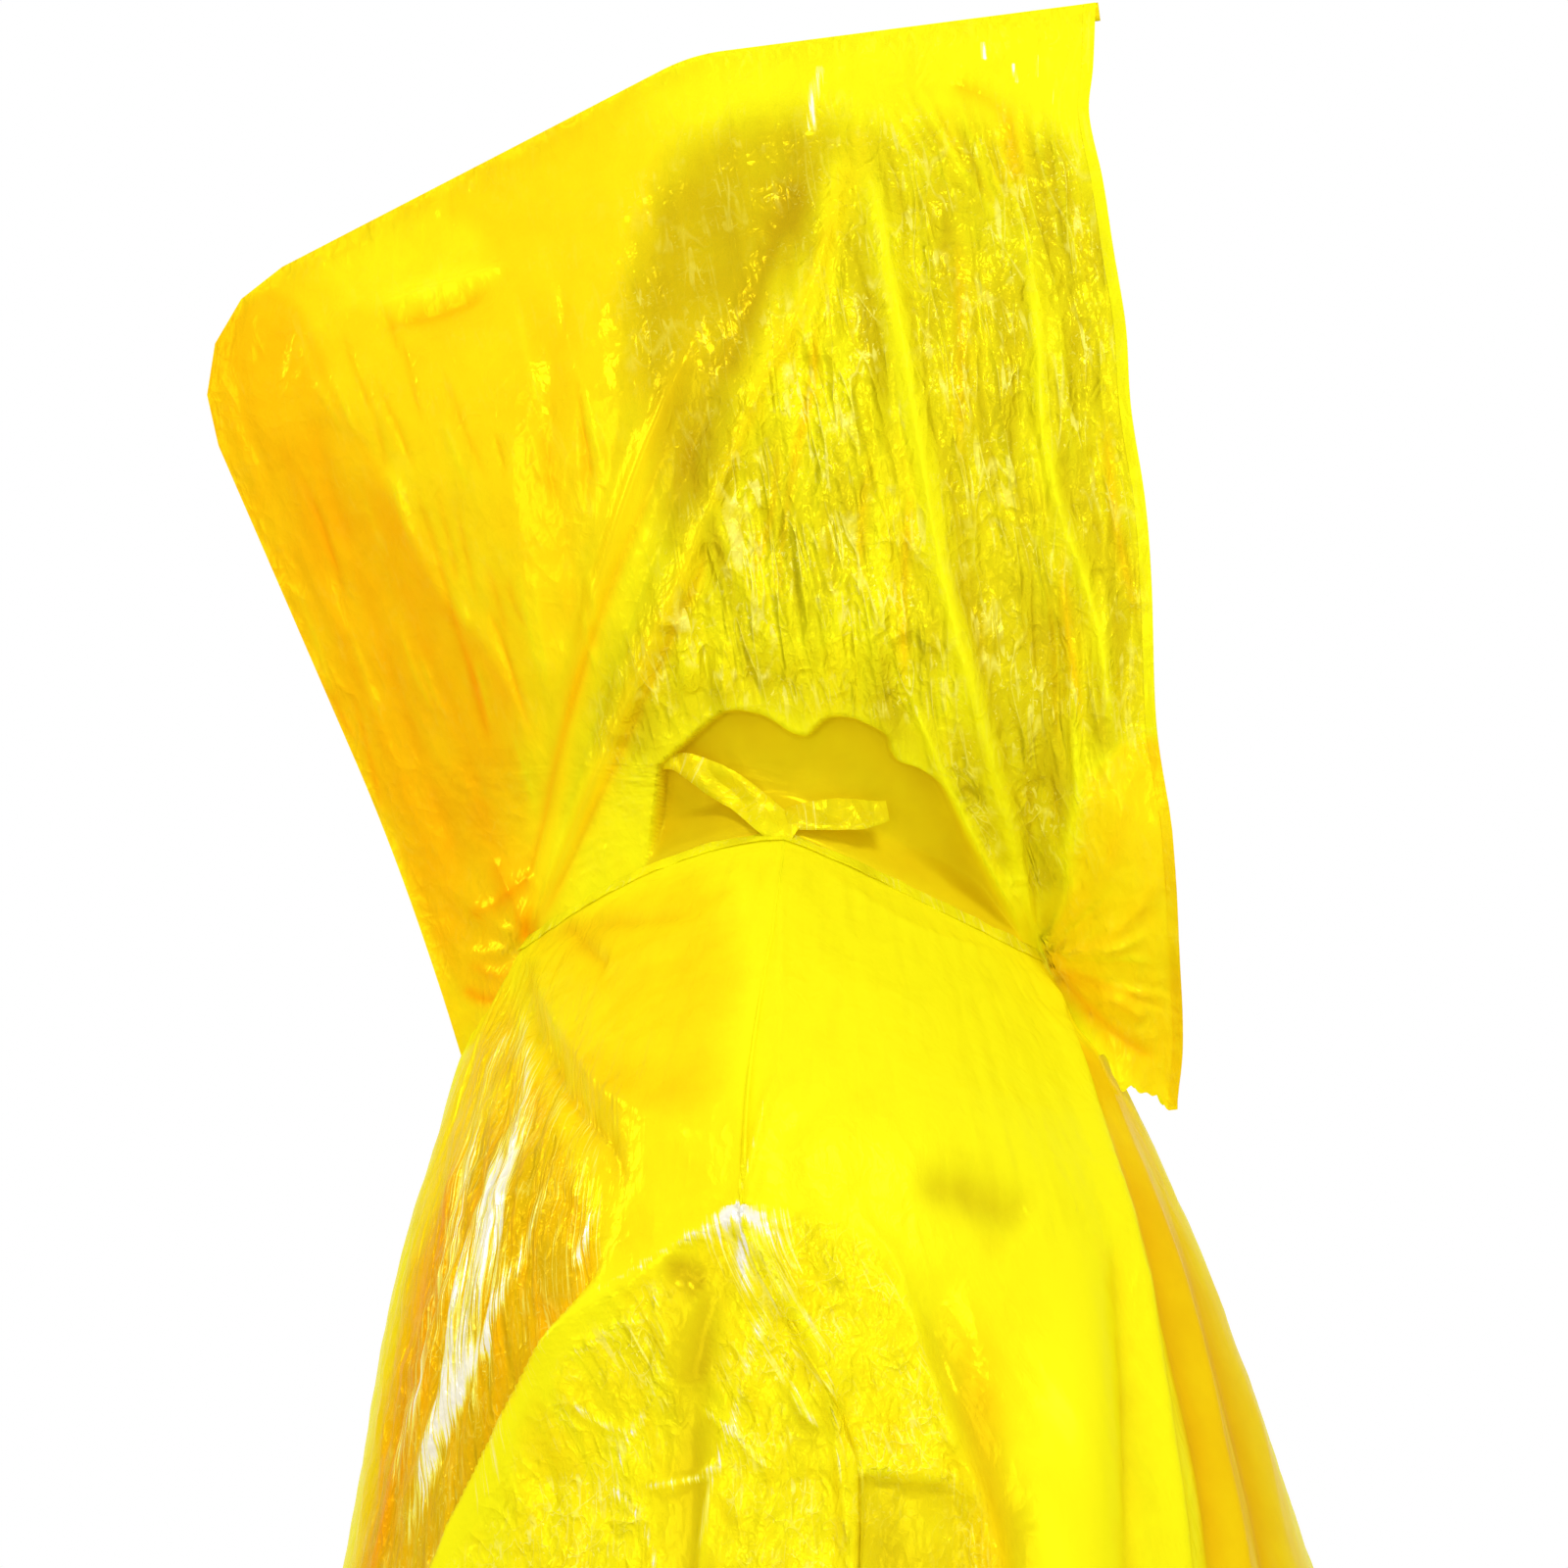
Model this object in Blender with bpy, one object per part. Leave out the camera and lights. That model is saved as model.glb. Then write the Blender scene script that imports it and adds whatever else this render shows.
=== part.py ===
"""Hooded rain poncho of thin polyethylene film, standing as it hangs on its wearer.

The poncho faces -Y, +Z is up and X = 0 is its middle plane. The origin is the centre of the
neck opening, at the height where the hood's gathers meet the shoulders. The wearer's right is -X.
Outlines of the hood and the body are drawn in the middle plane as (forward, up) pairs, where
forward is -Y, and every piece is cut from one of two surfaces: the hood and the body.
"""

import math

import bmesh
import bpy
from mathutils import Vector

# Film and joints between films
FILM_WALL = 0.0012
SEAM_GAP = 0.0003
NECK_CLEARANCE = 0.0006
WELD_WIDTH = 0.006
HEM_WIDTH = 0.004
HEM_WALL = 0.0022

# Neck opening: an ellipse whose rim rises over the shoulders
NECK_HALF_WIDTH = 0.067
NECK_HALF_DEPTH = 0.088
NECK_FRONT_HEIGHT = -0.006
NECK_BACK_HEIGHT = -0.003
NECK_SIDE_HEIGHT = 0.035
FRONT_RIM_POWER = 1.1
BACK_RIM_POWER = 1.8
GATHER_FORWARD = 0.082

# Hood outline in the middle plane
CROWN_FRONT = Vector((0.101, 0.304))
CROWN_BREAK = Vector((-0.030, 0.287))
CROWN_BACK = Vector((-0.200, 0.199))
NAPE_END = Vector((-0.104, -0.022))
BREAK_RADIUS = 0.060
BACK_RADIUS = 0.045
FLAP_CORNER = Vector((0.128, -0.048))
GATHER_TOP = 0.058

HOOD_AXIS_HEIGHT = 0.020

# Hood half-widths
HOOD_HALF_WIDTH = 0.085
RIM_HALF_WIDTH = 0.072
FLAP_HALF_WIDTH = 0.040
HOOD_ROUNDING = 0.075
HOOD_ROUNDNESS = 1.6
WIDEST_FORWARD = 0.020
GATHER_RISE = 0.090

# Body, drawn as the paths of its front, its back and its shoulder and arm
SHOULDER_HALF_WIDTH = 0.203
SHOULDER_HEIGHT = -0.082
CHEST_FORWARD = 0.171
BACK_REACH = 0.141
CHEST_HEIGHT = -0.203
HEM_FORWARD = 0.256
HEM_BACK = 0.228
HEM_HALF_WIDTH = 0.335
HEM_FRONT_HEIGHT = -0.950
HEM_SIDE_HEIGHT = -1.020
SHOULDER_OFFSET = -0.013
ARM_OFFSET = 0.024
SHOULDER_SHARE = 0.16
ARM_SHARE = 0.24
HIP_SHARE = 0.45
SQUARENESS = 0.15

# Armholes in the sides
ARMHOLE_TOP = -0.505
ARMHOLE_BOTTOM = -0.715
ARMHOLE_HALF_GAPE = 0.045
ARMHOLE_BLEND = 0.090
ARMHOLE_ROUNDNESS = 1.3

# Hanging folds of the body
FOLDS_PER_SIDE = 9
FOLD_DEPTH = 0.018
FOLD_START = 0.14
FOLD_LEAN = 0.35

# Meshes: columns run round the body and from the hood's rim to its back, rows run up and down
BODY_COLUMNS = 46
ROWS_ABOVE_ARMHOLE = 10
ROWS_BESIDE_ARMHOLE = 4
ROWS_BELOW_ARMHOLE = 4
FLAP_COLUMNS = 4
NECK_COLUMNS = 14
NAPE_COLUMNS = 2
HOOD_ROWS = 13
GATHER_ROWS = 4
CROWN_WELD_COLUMNS = 26
BACK_WELD_COLUMNS = 16
NAPE_WELD_COLUMNS = 8
OUTLINE_SAMPLES = 150

# Points inside the body and the hood, which tell their outer faces from their inner ones
TORSO = Vector((0.0, 0.0, -0.450))
HEAD = Vector((0.0, 0.010, 0.100))

ROUNDING_ERROR = 1e-7
RIGHT, LEFT = -1.0, 1.0
SIDE_NAMES = {RIGHT: "right", LEFT: "left"}


# ---------------------------------------------------------------- curves


def spread(share, first, last):
    return first + (last - first) * share


def smoothstep(value):
    """0 below 0 and 1 above 1, with a smooth rise between."""
    t = min(max(value, 0.0), 1.0)
    return t * t * (3.0 - 2.0 * t)


def walk(points):
    """A function of 0 to 1 that runs along points at an even pace, on a smooth curve."""
    points = [Vector(p) for p in points]
    ends = [points[0] * 2 - points[1], *points, points[-1] * 2 - points[-2]]
    lengths = [0.0]
    for before, after in zip(points, points[1:]):
        lengths.append(lengths[-1] + (after - before).length)

    def at(share):
        where = min(max(share, 0.0), 1.0) * lengths[-1]
        k = 0
        while k < len(points) - 2 and lengths[k + 1] < where:
            k += 1
        t = (where - lengths[k]) / (lengths[k + 1] - lengths[k])
        p0, p1, p2, p3 = ends[k : k + 4]
        return 0.5 * (
            2 * p1
            + (p2 - p0) * t
            + (2 * p0 - 5 * p1 + 4 * p2 - p3) * t * t
            + (3 * p1 - p0 - 3 * p2 + p3) * t * t * t
        )

    return at


def rounded(before, corner, after, radius, steps):
    """The points of an arc of this radius in the corner between two straight lines."""
    back, on = (before - corner).normalized(), (after - corner).normalized()
    half = back.angle(on) / 2
    middle = (back + on).normalized()
    centre = corner + middle * (radius / math.sin(half))
    reach = radius / math.tan(half)
    first, last = corner + back * reach - centre, corner + on * reach - centre
    sweep = first.angle(last)
    points = []
    for k in range(steps + 1):
        t = k / steps
        mixed = first * math.sin((1 - t) * sweep) + last * math.sin(t * sweep)
        points.append(centre + mixed / math.sin(sweep))
    return points


def along(points):
    """A function of 0 to 1 that runs along a chain of straight lines at an even pace."""
    lengths = [0.0]
    for before, after in zip(points, points[1:]):
        lengths.append(lengths[-1] + (after - before).length)

    def at(share):
        where = min(max(share, 0.0), 1.0) * lengths[-1]
        k = 0
        while k < len(points) - 2 and lengths[k + 1] < where:
            k += 1
        span = lengths[k + 1] - lengths[k]
        return points[k].lerp(points[k + 1], (where - lengths[k]) / span)

    return at


def chain_length(points):
    return sum((after - before).length for before, after in zip(points, points[1:]))


# ---------------------------------------------------------------- the hood's surface

BREAK_ARC = rounded(CROWN_FRONT, CROWN_BREAK, CROWN_BACK, BREAK_RADIUS, 6)
BACK_ARC = rounded(CROWN_BREAK, CROWN_BACK, NAPE_END, BACK_RADIUS, 12)
HALF_ARC = len(BACK_ARC) // 2
CROWN_PART = [CROWN_FRONT, *BREAK_ARC, *BACK_ARC[: HALF_ARC + 1]]
BACK_PART = [*BACK_ARC[HALF_ARC:], NAPE_END]
SEAM_LINE = along([*CROWN_PART, *BACK_PART[1:]])
CORNER_SHARE = chain_length(CROWN_PART) / (chain_length(CROWN_PART) + chain_length(BACK_PART))
SEAM_POINTS = [SEAM_LINE(k / OUTLINE_SAMPLES) for k in range(OUTLINE_SAMPLES + 1)]


def crown_line(share):
    """The crown seam, from its front at 0 to the middle of the back corner at 1."""
    return SEAM_LINE(share * CORNER_SHARE)


def back_line(share):
    """The back seam, from the middle of the back corner at 0 to the nape at 1."""
    return SEAM_LINE(CORNER_SHARE + share * (1 - CORNER_SHARE))


def rim_power(forward):
    """How sharply the neck's rim peaks over the shoulders, in front of them or behind them."""
    return FRONT_RIM_POWER if forward > 0 else BACK_RIM_POWER


def neck_rim(angle):
    """(sideways, forward, up) of the neck opening's rim, from its front at 0 to its back at pi."""
    forward = math.cos(angle)
    low = NECK_FRONT_HEIGHT if forward > 0 else NECK_BACK_HEIGHT
    up = NECK_SIDE_HEIGHT - (NECK_SIDE_HEIGHT - low) * abs(forward) ** rim_power(forward)
    return NECK_HALF_WIDTH * math.sin(angle), NECK_HALF_DEPTH * forward, up


HOOD_COLUMNS = FLAP_COLUMNS + NECK_COLUMNS + NAPE_COLUMNS
GATHER_ANGLE = math.acos(GATHER_FORWARD / NECK_HALF_DEPTH)


def edge_forward(across):
    """How far forward the hood's lower edge lies, with even steps round the neck's rim."""
    column = across * HOOD_COLUMNS
    if column < FLAP_COLUMNS:
        return FLAP_CORNER.x + (GATHER_FORWARD - FLAP_CORNER.x) * column / FLAP_COLUMNS
    column -= FLAP_COLUMNS
    if column <= NECK_COLUMNS:
        angle = spread(column / NECK_COLUMNS, GATHER_ANGLE, math.pi - GATHER_ANGLE)
        return NECK_HALF_DEPTH * math.cos(angle)
    return spread((column - NECK_COLUMNS) / NAPE_COLUMNS, -GATHER_FORWARD, NAPE_END.x)


def hood_edge(forward):
    """(sideways, up) of the hood's lower edge: the front flap, the neck's rim and the nape."""
    if forward > GATHER_FORWARD + ROUNDING_ERROR:
        side, _, up = neck_rim(GATHER_ANGLE)
        share = (forward - GATHER_FORWARD) / (FLAP_CORNER.x - GATHER_FORWARD)
        drop = (up - FLAP_CORNER.y) * math.sin(share * math.pi / 2)
        return side + (FLAP_HALF_WIDTH - side) * share, up - drop + NECK_CLEARANCE
    if forward < -GATHER_FORWARD - ROUNDING_ERROR:
        side, _, up = neck_rim(math.pi - GATHER_ANGLE)
        share = min((-GATHER_FORWARD - forward) / (-GATHER_FORWARD - NAPE_END.x), 1.0)
        drop = (up - NAPE_END.y) * (1 - math.cos(share * math.pi / 2))
        return seam_side() + (side - seam_side()) * (1 - share), up - drop + NECK_CLEARANCE
    side, _, up = neck_rim(math.acos(forward / NECK_HALF_DEPTH))
    return side, up + NECK_CLEARANCE


def seam_side():
    """How far from the middle plane a hood film lies where it is welded to the other one."""
    return FILM_WALL / 2 + SEAM_GAP


def seam_distance(point):
    """How far a point of the middle plane lies inside the hood's crown and back seams."""
    return min((point - p).length for p in SEAM_POINTS)


def hood_side(point):
    """How far sideways the hood film stands at a point of the middle plane."""
    away = seam_distance(point) / HOOD_ROUNDING
    from_seam = 1.0 - math.exp(-(away**HOOD_ROUNDNESS))
    to_rim = smoothstep((point.x - WIDEST_FORWARD) / (CROWN_FRONT.x - WIDEST_FORWARD))
    full = HOOD_HALF_WIDTH + (RIM_HALF_WIDTH - HOOD_HALF_WIDTH) * to_rim
    body = seam_side() + (full - seam_side()) * from_seam
    edge_side, edge_up = hood_edge(point.x)
    opened = smoothstep((point.y - edge_up) / GATHER_RISE)
    return edge_side + (body - edge_side) * opened


def rim_point(up):
    """The hood's front rim at a height, on its straight line."""
    share = (up - FLAP_CORNER.y) / (CROWN_FRONT.y - FLAP_CORNER.y)
    return FLAP_CORNER.lerp(CROWN_FRONT, share)


def halfway(path_height, height):
    """The share of a path that falls steadily at which it reaches a height."""
    low, high = 0.0, 1.0
    for _ in range(30):
        middle = (low + high) / 2
        if path_height(middle) > height:
            low = middle
        else:
            high = middle
    return low


def back_share(up):
    """How far down the back seam a height lies, from 0 at its top to 1 at its end."""
    return halfway(lambda share: back_line(share).y, up)


def back_point(up):
    """The hood's back seam at a height below its rounded corner."""
    return back_line(back_share(up))


def hood_plan(across, up):
    """A point of the middle plane: across runs from the rim to the back seam, up from the
    gathers' top at 0 to the crown at 1, and from the gathers' top at 0 to the lower edge at -1."""
    level = rim_point(GATHER_TOP).lerp(back_point(GATHER_TOP), across)
    if up < 0:
        forward = edge_forward(across)
        edge = Vector((forward, hood_edge(forward)[1]))
        straight = level.lerp(edge, -up)
        seam = back_point(GATHER_TOP + (NAPE_END.y - GATHER_TOP) * -up)
        last = back_point(GATHER_TOP).lerp(Vector((NAPE_END.x, hood_edge(NAPE_END.x)[1])), -up)
        return straight + (seam - last) * across**3
    straight = level.lerp(crown_line(across), up)
    seam = back_line(back_share(GATHER_TOP) * (1 - up))
    last = back_point(GATHER_TOP).lerp(crown_line(1.0), up)
    return straight + (seam - last) * across**3


def hood_point(hand, across, up):
    """A point of the hood film in space, on the hand's side."""
    plan = hood_plan(across, up)
    return Vector((hand * hood_side(plan), -plan.x, plan.y))


# ---------------------------------------------------------------- the body's surface

def between(start, end, shares):
    """Points from start to end, each with its share of the way sideways and of the way down."""
    step = Vector(end) - Vector(start)
    return [Vector(start) + Vector((step.x * out, step.y * down)) for out, down in shares]


FRONT_COLLAR = (NECK_HALF_DEPTH, NECK_FRONT_HEIGHT)
BACK_COLLAR = (NECK_HALF_DEPTH, NECK_BACK_HEIGHT)
SIDE_COLLAR = (NECK_HALF_WIDTH, NECK_SIDE_HEIGHT)
CHEST = (CHEST_FORWARD, CHEST_HEIGHT)
SHOULDER_BLADES = (BACK_REACH, CHEST_HEIGHT)
SHOULDER = (SHOULDER_HALF_WIDTH, SHOULDER_HEIGHT)
FRONT_HEM = (HEM_FORWARD, HEM_FRONT_HEIGHT)
BACK_HEM = (HEM_BACK, HEM_FRONT_HEIGHT)
SIDE_HEM = (HEM_HALF_WIDTH, HEM_SIDE_HEIGHT)
START, END = (0.0, 0.0), (1.0, 1.0)
FRONT_PATH = walk(
    between(FRONT_COLLAR, CHEST, (START, (0.13, 0.11), (0.30, 0.22), (0.60, 0.52)))
    + between(CHEST, FRONT_HEM, (START, (0.33, 0.13), (0.65, 0.35), (0.88, 0.62), END))
)
BACK_PATH = walk(
    between(BACK_COLLAR, SHOULDER_BLADES, (START, (0.28, 0.15), (0.47, 0.32), (0.70, 0.55)))
    + between(SHOULDER_BLADES, BACK_HEM, (START, (0.25, 0.13), (0.54, 0.35), (0.82, 0.62), END))
)
SIDE_PATH = walk(
    between(SIDE_COLLAR, SHOULDER, (START, (0.26, 0.15), (0.62, 0.43), (0.88, 0.71)))
    + between(SHOULDER, SIDE_HEM, (START, (0.09, 0.05), (0.18, 0.13), (0.34, 0.24)))
    + between(SHOULDER, SIDE_HEM, ((0.57, 0.40), (0.77, 0.61), END))
)


def path_length(path):
    return chain_length([path(k / OUTLINE_SAMPLES) for k in range(OUTLINE_SAMPLES + 1)])


BODY_LENGTH = path_length(FRONT_PATH)


def arm_line(down):
    """How far forward the shoulder and arm line lies at a share of the way down."""
    to_tip = SHOULDER_OFFSET * smoothstep(down / SHOULDER_SHARE)
    past_tip = smoothstep((down - SHOULDER_SHARE) / (ARM_SHARE - SHOULDER_SHARE))
    to_arm = (ARM_OFFSET - SHOULDER_OFFSET) * past_tip
    to_hem = -ARM_OFFSET * smoothstep((down - ARM_SHARE) / (HIP_SHARE - ARM_SHARE))
    return to_tip + to_arm + to_hem


def body_point(hand, angle, down):
    """A point of the body film: angle runs from the front at 0 over the side at pi / 2 to the
    back at pi, and down from the neck's rim at 0 to the hem at 1."""
    forward, sideways = math.cos(angle), math.sin(angle)
    depth, height = (FRONT_PATH if forward > 0 else BACK_PATH)(down)
    width, side_height = SIDE_PATH(down)
    squared = smoothstep(down / SHOULDER_SHARE)
    power = spread(squared, rim_power(forward), 2.0)
    fullness = 1.0 - SQUARENESS * squared
    level = 1.0 - abs(forward) ** power
    fold = fold_wave(angle, down)
    x = width * sideways**fullness if sideways > 0 else 0.0
    f = math.copysign(depth * abs(forward) ** fullness, forward) + arm_line(down) * sideways**4
    out = Vector((x, f))
    out += out.normalized() * fold
    return Vector((hand * out.x, -out.y, height + (side_height - height) * level))


def fold_wave(angle, down):
    """How far the hanging folds push the body film out, growing towards the hem."""
    grown = smoothstep((down - FOLD_START) / (1.0 - FOLD_START))
    lean = FOLD_LEAN * math.sin(3.0 * angle)
    return FOLD_DEPTH * grown * math.cos(2 * FOLDS_PER_SIDE * angle + lean)


ARMHOLE_START = halfway(lambda down: SIDE_PATH(down).y, ARMHOLE_TOP)
ARMHOLE_END = halfway(lambda down: SIDE_PATH(down).y, ARMHOLE_BOTTOM)


def gape(down):
    """How far each edge of an armhole stands open at a share of the way down."""
    share = (down - ARMHOLE_START) / (ARMHOLE_END - ARMHOLE_START)
    if not 0.0 < share < 1.0:
        return 0.0
    return ARMHOLE_HALF_GAPE * math.sin(math.pi * share) ** ARMHOLE_ROUNDNESS


def edge_angle(down, width):
    """The angle that covers this width of film beside the arm line."""
    step = 0.001
    middle = math.pi / 2
    moved = body_point(LEFT, middle + step, down) - body_point(LEFT, middle - step, down)
    return width * 2 * step / moved.length


def sheet_point(face, across, down):
    """A point of the front sheet (face 1) or back sheet (face -1). across runs from the right
    arm line at -1 to the left one at 1, and the sheet stops short of the welds at its sides."""
    hand = LEFT if across > 0 else RIGHT
    side_stop = edge_angle(down, WELD_WIDTH / 2 + SEAM_GAP)
    angle = abs(across) * (math.pi / 2 - side_stop)
    if face < 0:
        angle = math.pi - angle
    point = body_point(hand, angle, down)
    from_edge = (1 - abs(across)) * math.pi / 2 * abs(body_point(LEFT, math.pi / 2, down).x)
    opened = gape(down) * (1 - smoothstep(from_edge / ARMHOLE_BLEND))
    point.y -= face * opened
    return point


# ---------------------------------------------------------------- solids


def film_material(name, colour, roughness):
    material = bpy.data.materials.new(name)
    material.use_nodes = True
    shader = material.node_tree.nodes["Principled BSDF"]
    shader.inputs["Base Color"].default_value = (*colour, 1.0)
    shader.inputs["Roughness"].default_value = roughness
    shader.inputs["Metallic"].default_value = 0.0
    return material


def film_sheet(name, columns, rows, place, wall, side, colour, axis, inside):
    """A film solid that stands round a point inside it: a grid of columns by rows whose points
    place(column, row) gives, thickened by wall outwards (1), inwards (-1) or both ways (0)."""
    bm = bmesh.new()
    bmesh.ops.create_grid(bm, x_segments=columns, y_segments=rows, size=0.5)
    for vertex in bm.verts:
        vertex.co = place(vertex.co.x + 0.5, vertex.co.y + 0.5)
    bmesh.ops.recalc_face_normals(bm, faces=bm.faces)
    outwards = sum(f.normal.dot(f.calc_center_median() - inside) * f.calc_area() for f in bm.faces)
    if outwards < 0:
        bmesh.ops.reverse_faces(bm, faces=bm.faces)
    mesh = bpy.data.meshes.new(name)
    bm.to_mesh(mesh)
    bm.free()
    solid = bpy.data.objects.new(name, mesh)
    bpy.context.scene.collection.objects.link(solid)
    thickness = solid.modifiers.new("wall", "SOLIDIFY")
    thickness.thickness = wall
    thickness.offset = side
    thickness.use_even_offset = True
    mesh.materials.append(colour)
    mesh.shade_smooth()
    solid.parent = axis
    solid.matrix_parent_inverse = axis.matrix_world.inverted()


def axis_at(name, place):
    """The empty that carries a body's pieces, on the axis that the body turns about."""
    axis = bpy.data.objects.new(name, None)
    axis.location = place
    bpy.context.scene.collection.objects.link(axis)
    return axis


def levels(start, stop, rows, power):
    return [spread((k / rows) ** power, start, stop) for k in range(rows + 1)]


def build_body(cape, film, weld):
    """The front and back sheets, and the welds that join them over the shoulders and sides."""
    above = levels((WELD_WIDTH + SEAM_GAP) / BODY_LENGTH, ARMHOLE_START, ROWS_ABOVE_ARMHOLE, 1.3)
    beside = levels(ARMHOLE_START, ARMHOLE_END, ROWS_BESIDE_ARMHOLE, 1.0)
    below = levels(ARMHOLE_END, 1.0, ROWS_BELOW_ARMHOLE, 1.0)

    def sheet(face, downs):
        def place(column, row):
            down = downs[round(row * (len(downs) - 1))]
            return sheet_point(face, spread(column, -1.0, 1.0), down)

        return place

    downs = above + beside[1:] + below[1:]
    rows = len(downs) - 1
    for name, face in (("body_front_sheet", 1), ("body_back_sheet", -1)):
        film_sheet(name, BODY_COLUMNS, rows, sheet(face, downs), FILM_WALL, -1, film, cape, TORSO)

    def strip(hand, downs):
        def place(column, row):
            down = downs[round(row * (len(downs) - 1))]
            half = edge_angle(down, WELD_WIDTH / 2)
            return body_point(hand, math.pi / 2 + spread(column, -half, half), down)

        return place

    for hand, side in SIDE_NAMES.items():
        for name, downs in (("shoulder_weld", above), ("side_weld", below)):
            place = strip(hand, downs)
            film_sheet(f"{name}_{side}", 1, len(downs) - 1, place, FILM_WALL, -1, weld, cape, TORSO)


def build_neck(cape, weld):
    """The weld round each half of the neck opening, from a front gather to the middle of the back."""
    back_end = math.pi - SEAM_GAP / 2 / NECK_HALF_WIDTH
    angles = levels(GATHER_ANGLE, math.pi - GATHER_ANGLE, NECK_COLUMNS, 1.0)
    angles += levels(math.pi - GATHER_ANGLE, back_end, NAPE_COLUMNS, 1.0)[1:]
    for hand, side in SIDE_NAMES.items():

        def rim(column, row, hand=hand):
            angle = angles[round(column * (len(angles) - 1))]
            return body_point(hand, angle, row * WELD_WIDTH / BODY_LENGTH)

        film_sheet(f"neck_weld_{side}", len(angles) - 1, 1, rim, FILM_WALL, -1, weld, cape, TORSO)


def build_hood_side(names, bottom, top, rows, film, weld, axis):
    """One level of the hood on both sides: its film, and the hem along its rim."""
    depth = (rim_point(GATHER_TOP) - back_point(GATHER_TOP)).length
    hem_end, film_start = HEM_WIDTH / depth, (HEM_WIDTH + SEAM_GAP) / depth
    film_name, hem_name = names
    for hand, side in SIDE_NAMES.items():

        def film_place(column, row, hand=hand):
            return hood_point(hand, max(column, film_start), spread(row, bottom, top))

        def hem_place(column, row, hand=hand):
            return hood_point(hand, column * hem_end, spread(row, bottom, top))

        pieces = (
            (film_name, HOOD_COLUMNS, film_place, FILM_WALL, film),
            (hem_name, 1, hem_place, HEM_WALL, weld),
        )
        for name, columns, place, wall, colour in pieces:
            film_sheet(f"{name}_{side}", columns, rows, place, wall, 1, colour, axis, HEAD)


def build_seams(cape, hood, weld):
    """The welded fins along the crown, the back and the nape, between the two hood films."""
    split = CORNER_SHARE + back_share(GATHER_TOP) * (1 - CORNER_SHARE)
    half_gap = SEAM_GAP / (chain_length(CROWN_PART) + chain_length(BACK_PART))
    step = 0.004

    def fin(start, stop):
        def place(column, row):
            share = spread(column, start, stop)
            ahead = SEAM_LINE(share + step) - SEAM_LINE(share - step)
            inwards = Vector((-ahead.y, ahead.x)).normalized()
            point = SEAM_LINE(share) + inwards * (WELD_WIDTH * row)
            return Vector((0.0, -point.x, point.y))

        return place

    crown = fin(0.0, CORNER_SHARE - half_gap)
    back = fin(CORNER_SHARE + half_gap, split - half_gap)
    nape = fin(split + half_gap, 1.0)
    film_sheet("crown_weld", CROWN_WELD_COLUMNS, 1, crown, FILM_WALL, 0, weld, hood, HEAD)
    film_sheet("back_weld", BACK_WELD_COLUMNS, 1, back, FILM_WALL, 0, weld, hood, HEAD)
    film_sheet("nape_weld", NAPE_WELD_COLUMNS, 1, nape, FILM_WALL, 0, weld, cape, HEAD)


def main():
    for old in list(bpy.data.objects):
        bpy.data.objects.remove(old)
    cape = axis_at("cape_axis", (0.0, 0.0, 0.0))
    hood = axis_at("hood_axis", (0.0, 0.0, HOOD_AXIS_HEIGHT))
    bpy.context.view_layer.update()
    film = film_material("yellow_film", (0.92, 0.74, 0.03), 0.22)
    weld = film_material("welded_film", (0.86, 0.66, 0.02), 0.35)
    build_body(cape, film, weld)
    build_neck(cape, weld)
    gathers_end = -SEAM_GAP / 2 / (GATHER_TOP - NECK_SIDE_HEIGHT)
    panel_start = SEAM_GAP / 2 / (CROWN_FRONT.y - GATHER_TOP)
    gathers, panels = ("neck_gathers", "flap_hem"), ("hood_panel", "rim_hem")
    build_hood_side(gathers, -1.0, gathers_end, GATHER_ROWS, film, weld, cape)
    build_hood_side(panels, panel_start, 1.0, HOOD_ROWS, film, weld, hood)
    build_seams(cape, hood, weld)


main()
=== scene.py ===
import math
from collections import namedtuple

import bmesh
import bpy
import numpy as np
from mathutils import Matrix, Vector


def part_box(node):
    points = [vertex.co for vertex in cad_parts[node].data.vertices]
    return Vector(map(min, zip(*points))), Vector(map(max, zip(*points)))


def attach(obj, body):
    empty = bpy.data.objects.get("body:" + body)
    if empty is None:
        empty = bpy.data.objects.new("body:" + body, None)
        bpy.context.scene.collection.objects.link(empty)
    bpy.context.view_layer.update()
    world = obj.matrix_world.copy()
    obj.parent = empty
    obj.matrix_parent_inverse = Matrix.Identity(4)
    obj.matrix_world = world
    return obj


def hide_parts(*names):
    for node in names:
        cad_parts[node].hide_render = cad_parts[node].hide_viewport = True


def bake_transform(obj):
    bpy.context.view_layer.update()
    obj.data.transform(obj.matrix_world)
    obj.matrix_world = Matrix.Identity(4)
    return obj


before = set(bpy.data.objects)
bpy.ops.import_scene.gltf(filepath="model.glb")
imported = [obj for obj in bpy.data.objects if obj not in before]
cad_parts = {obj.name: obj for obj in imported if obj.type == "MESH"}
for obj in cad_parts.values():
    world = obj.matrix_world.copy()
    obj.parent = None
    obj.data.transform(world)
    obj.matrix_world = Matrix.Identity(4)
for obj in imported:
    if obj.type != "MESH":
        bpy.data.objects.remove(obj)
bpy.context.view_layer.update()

# Places are metres: X to the wearer's left, -Y the way the wearer faces, +Z up. Outlines on the
# hood and the cape are drawn from the side, as (forward, up), where forward is -Y.
MM = 0.001
RIGHT, LEFT = -1, 1
SIDES = {RIGHT: "right", LEFT: "left"}
DRAWING_CENTRE_HEIGHT = 0.0508


def side_corner(node, forward_end, upper_end):
    """(forward, up) of a corner of a node's box, seen from the side."""
    low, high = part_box(node)
    forward = -low.y if forward_end == "front" else -high.y
    return np.array((forward, high.z if upper_end == "top" else low.z))


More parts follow.
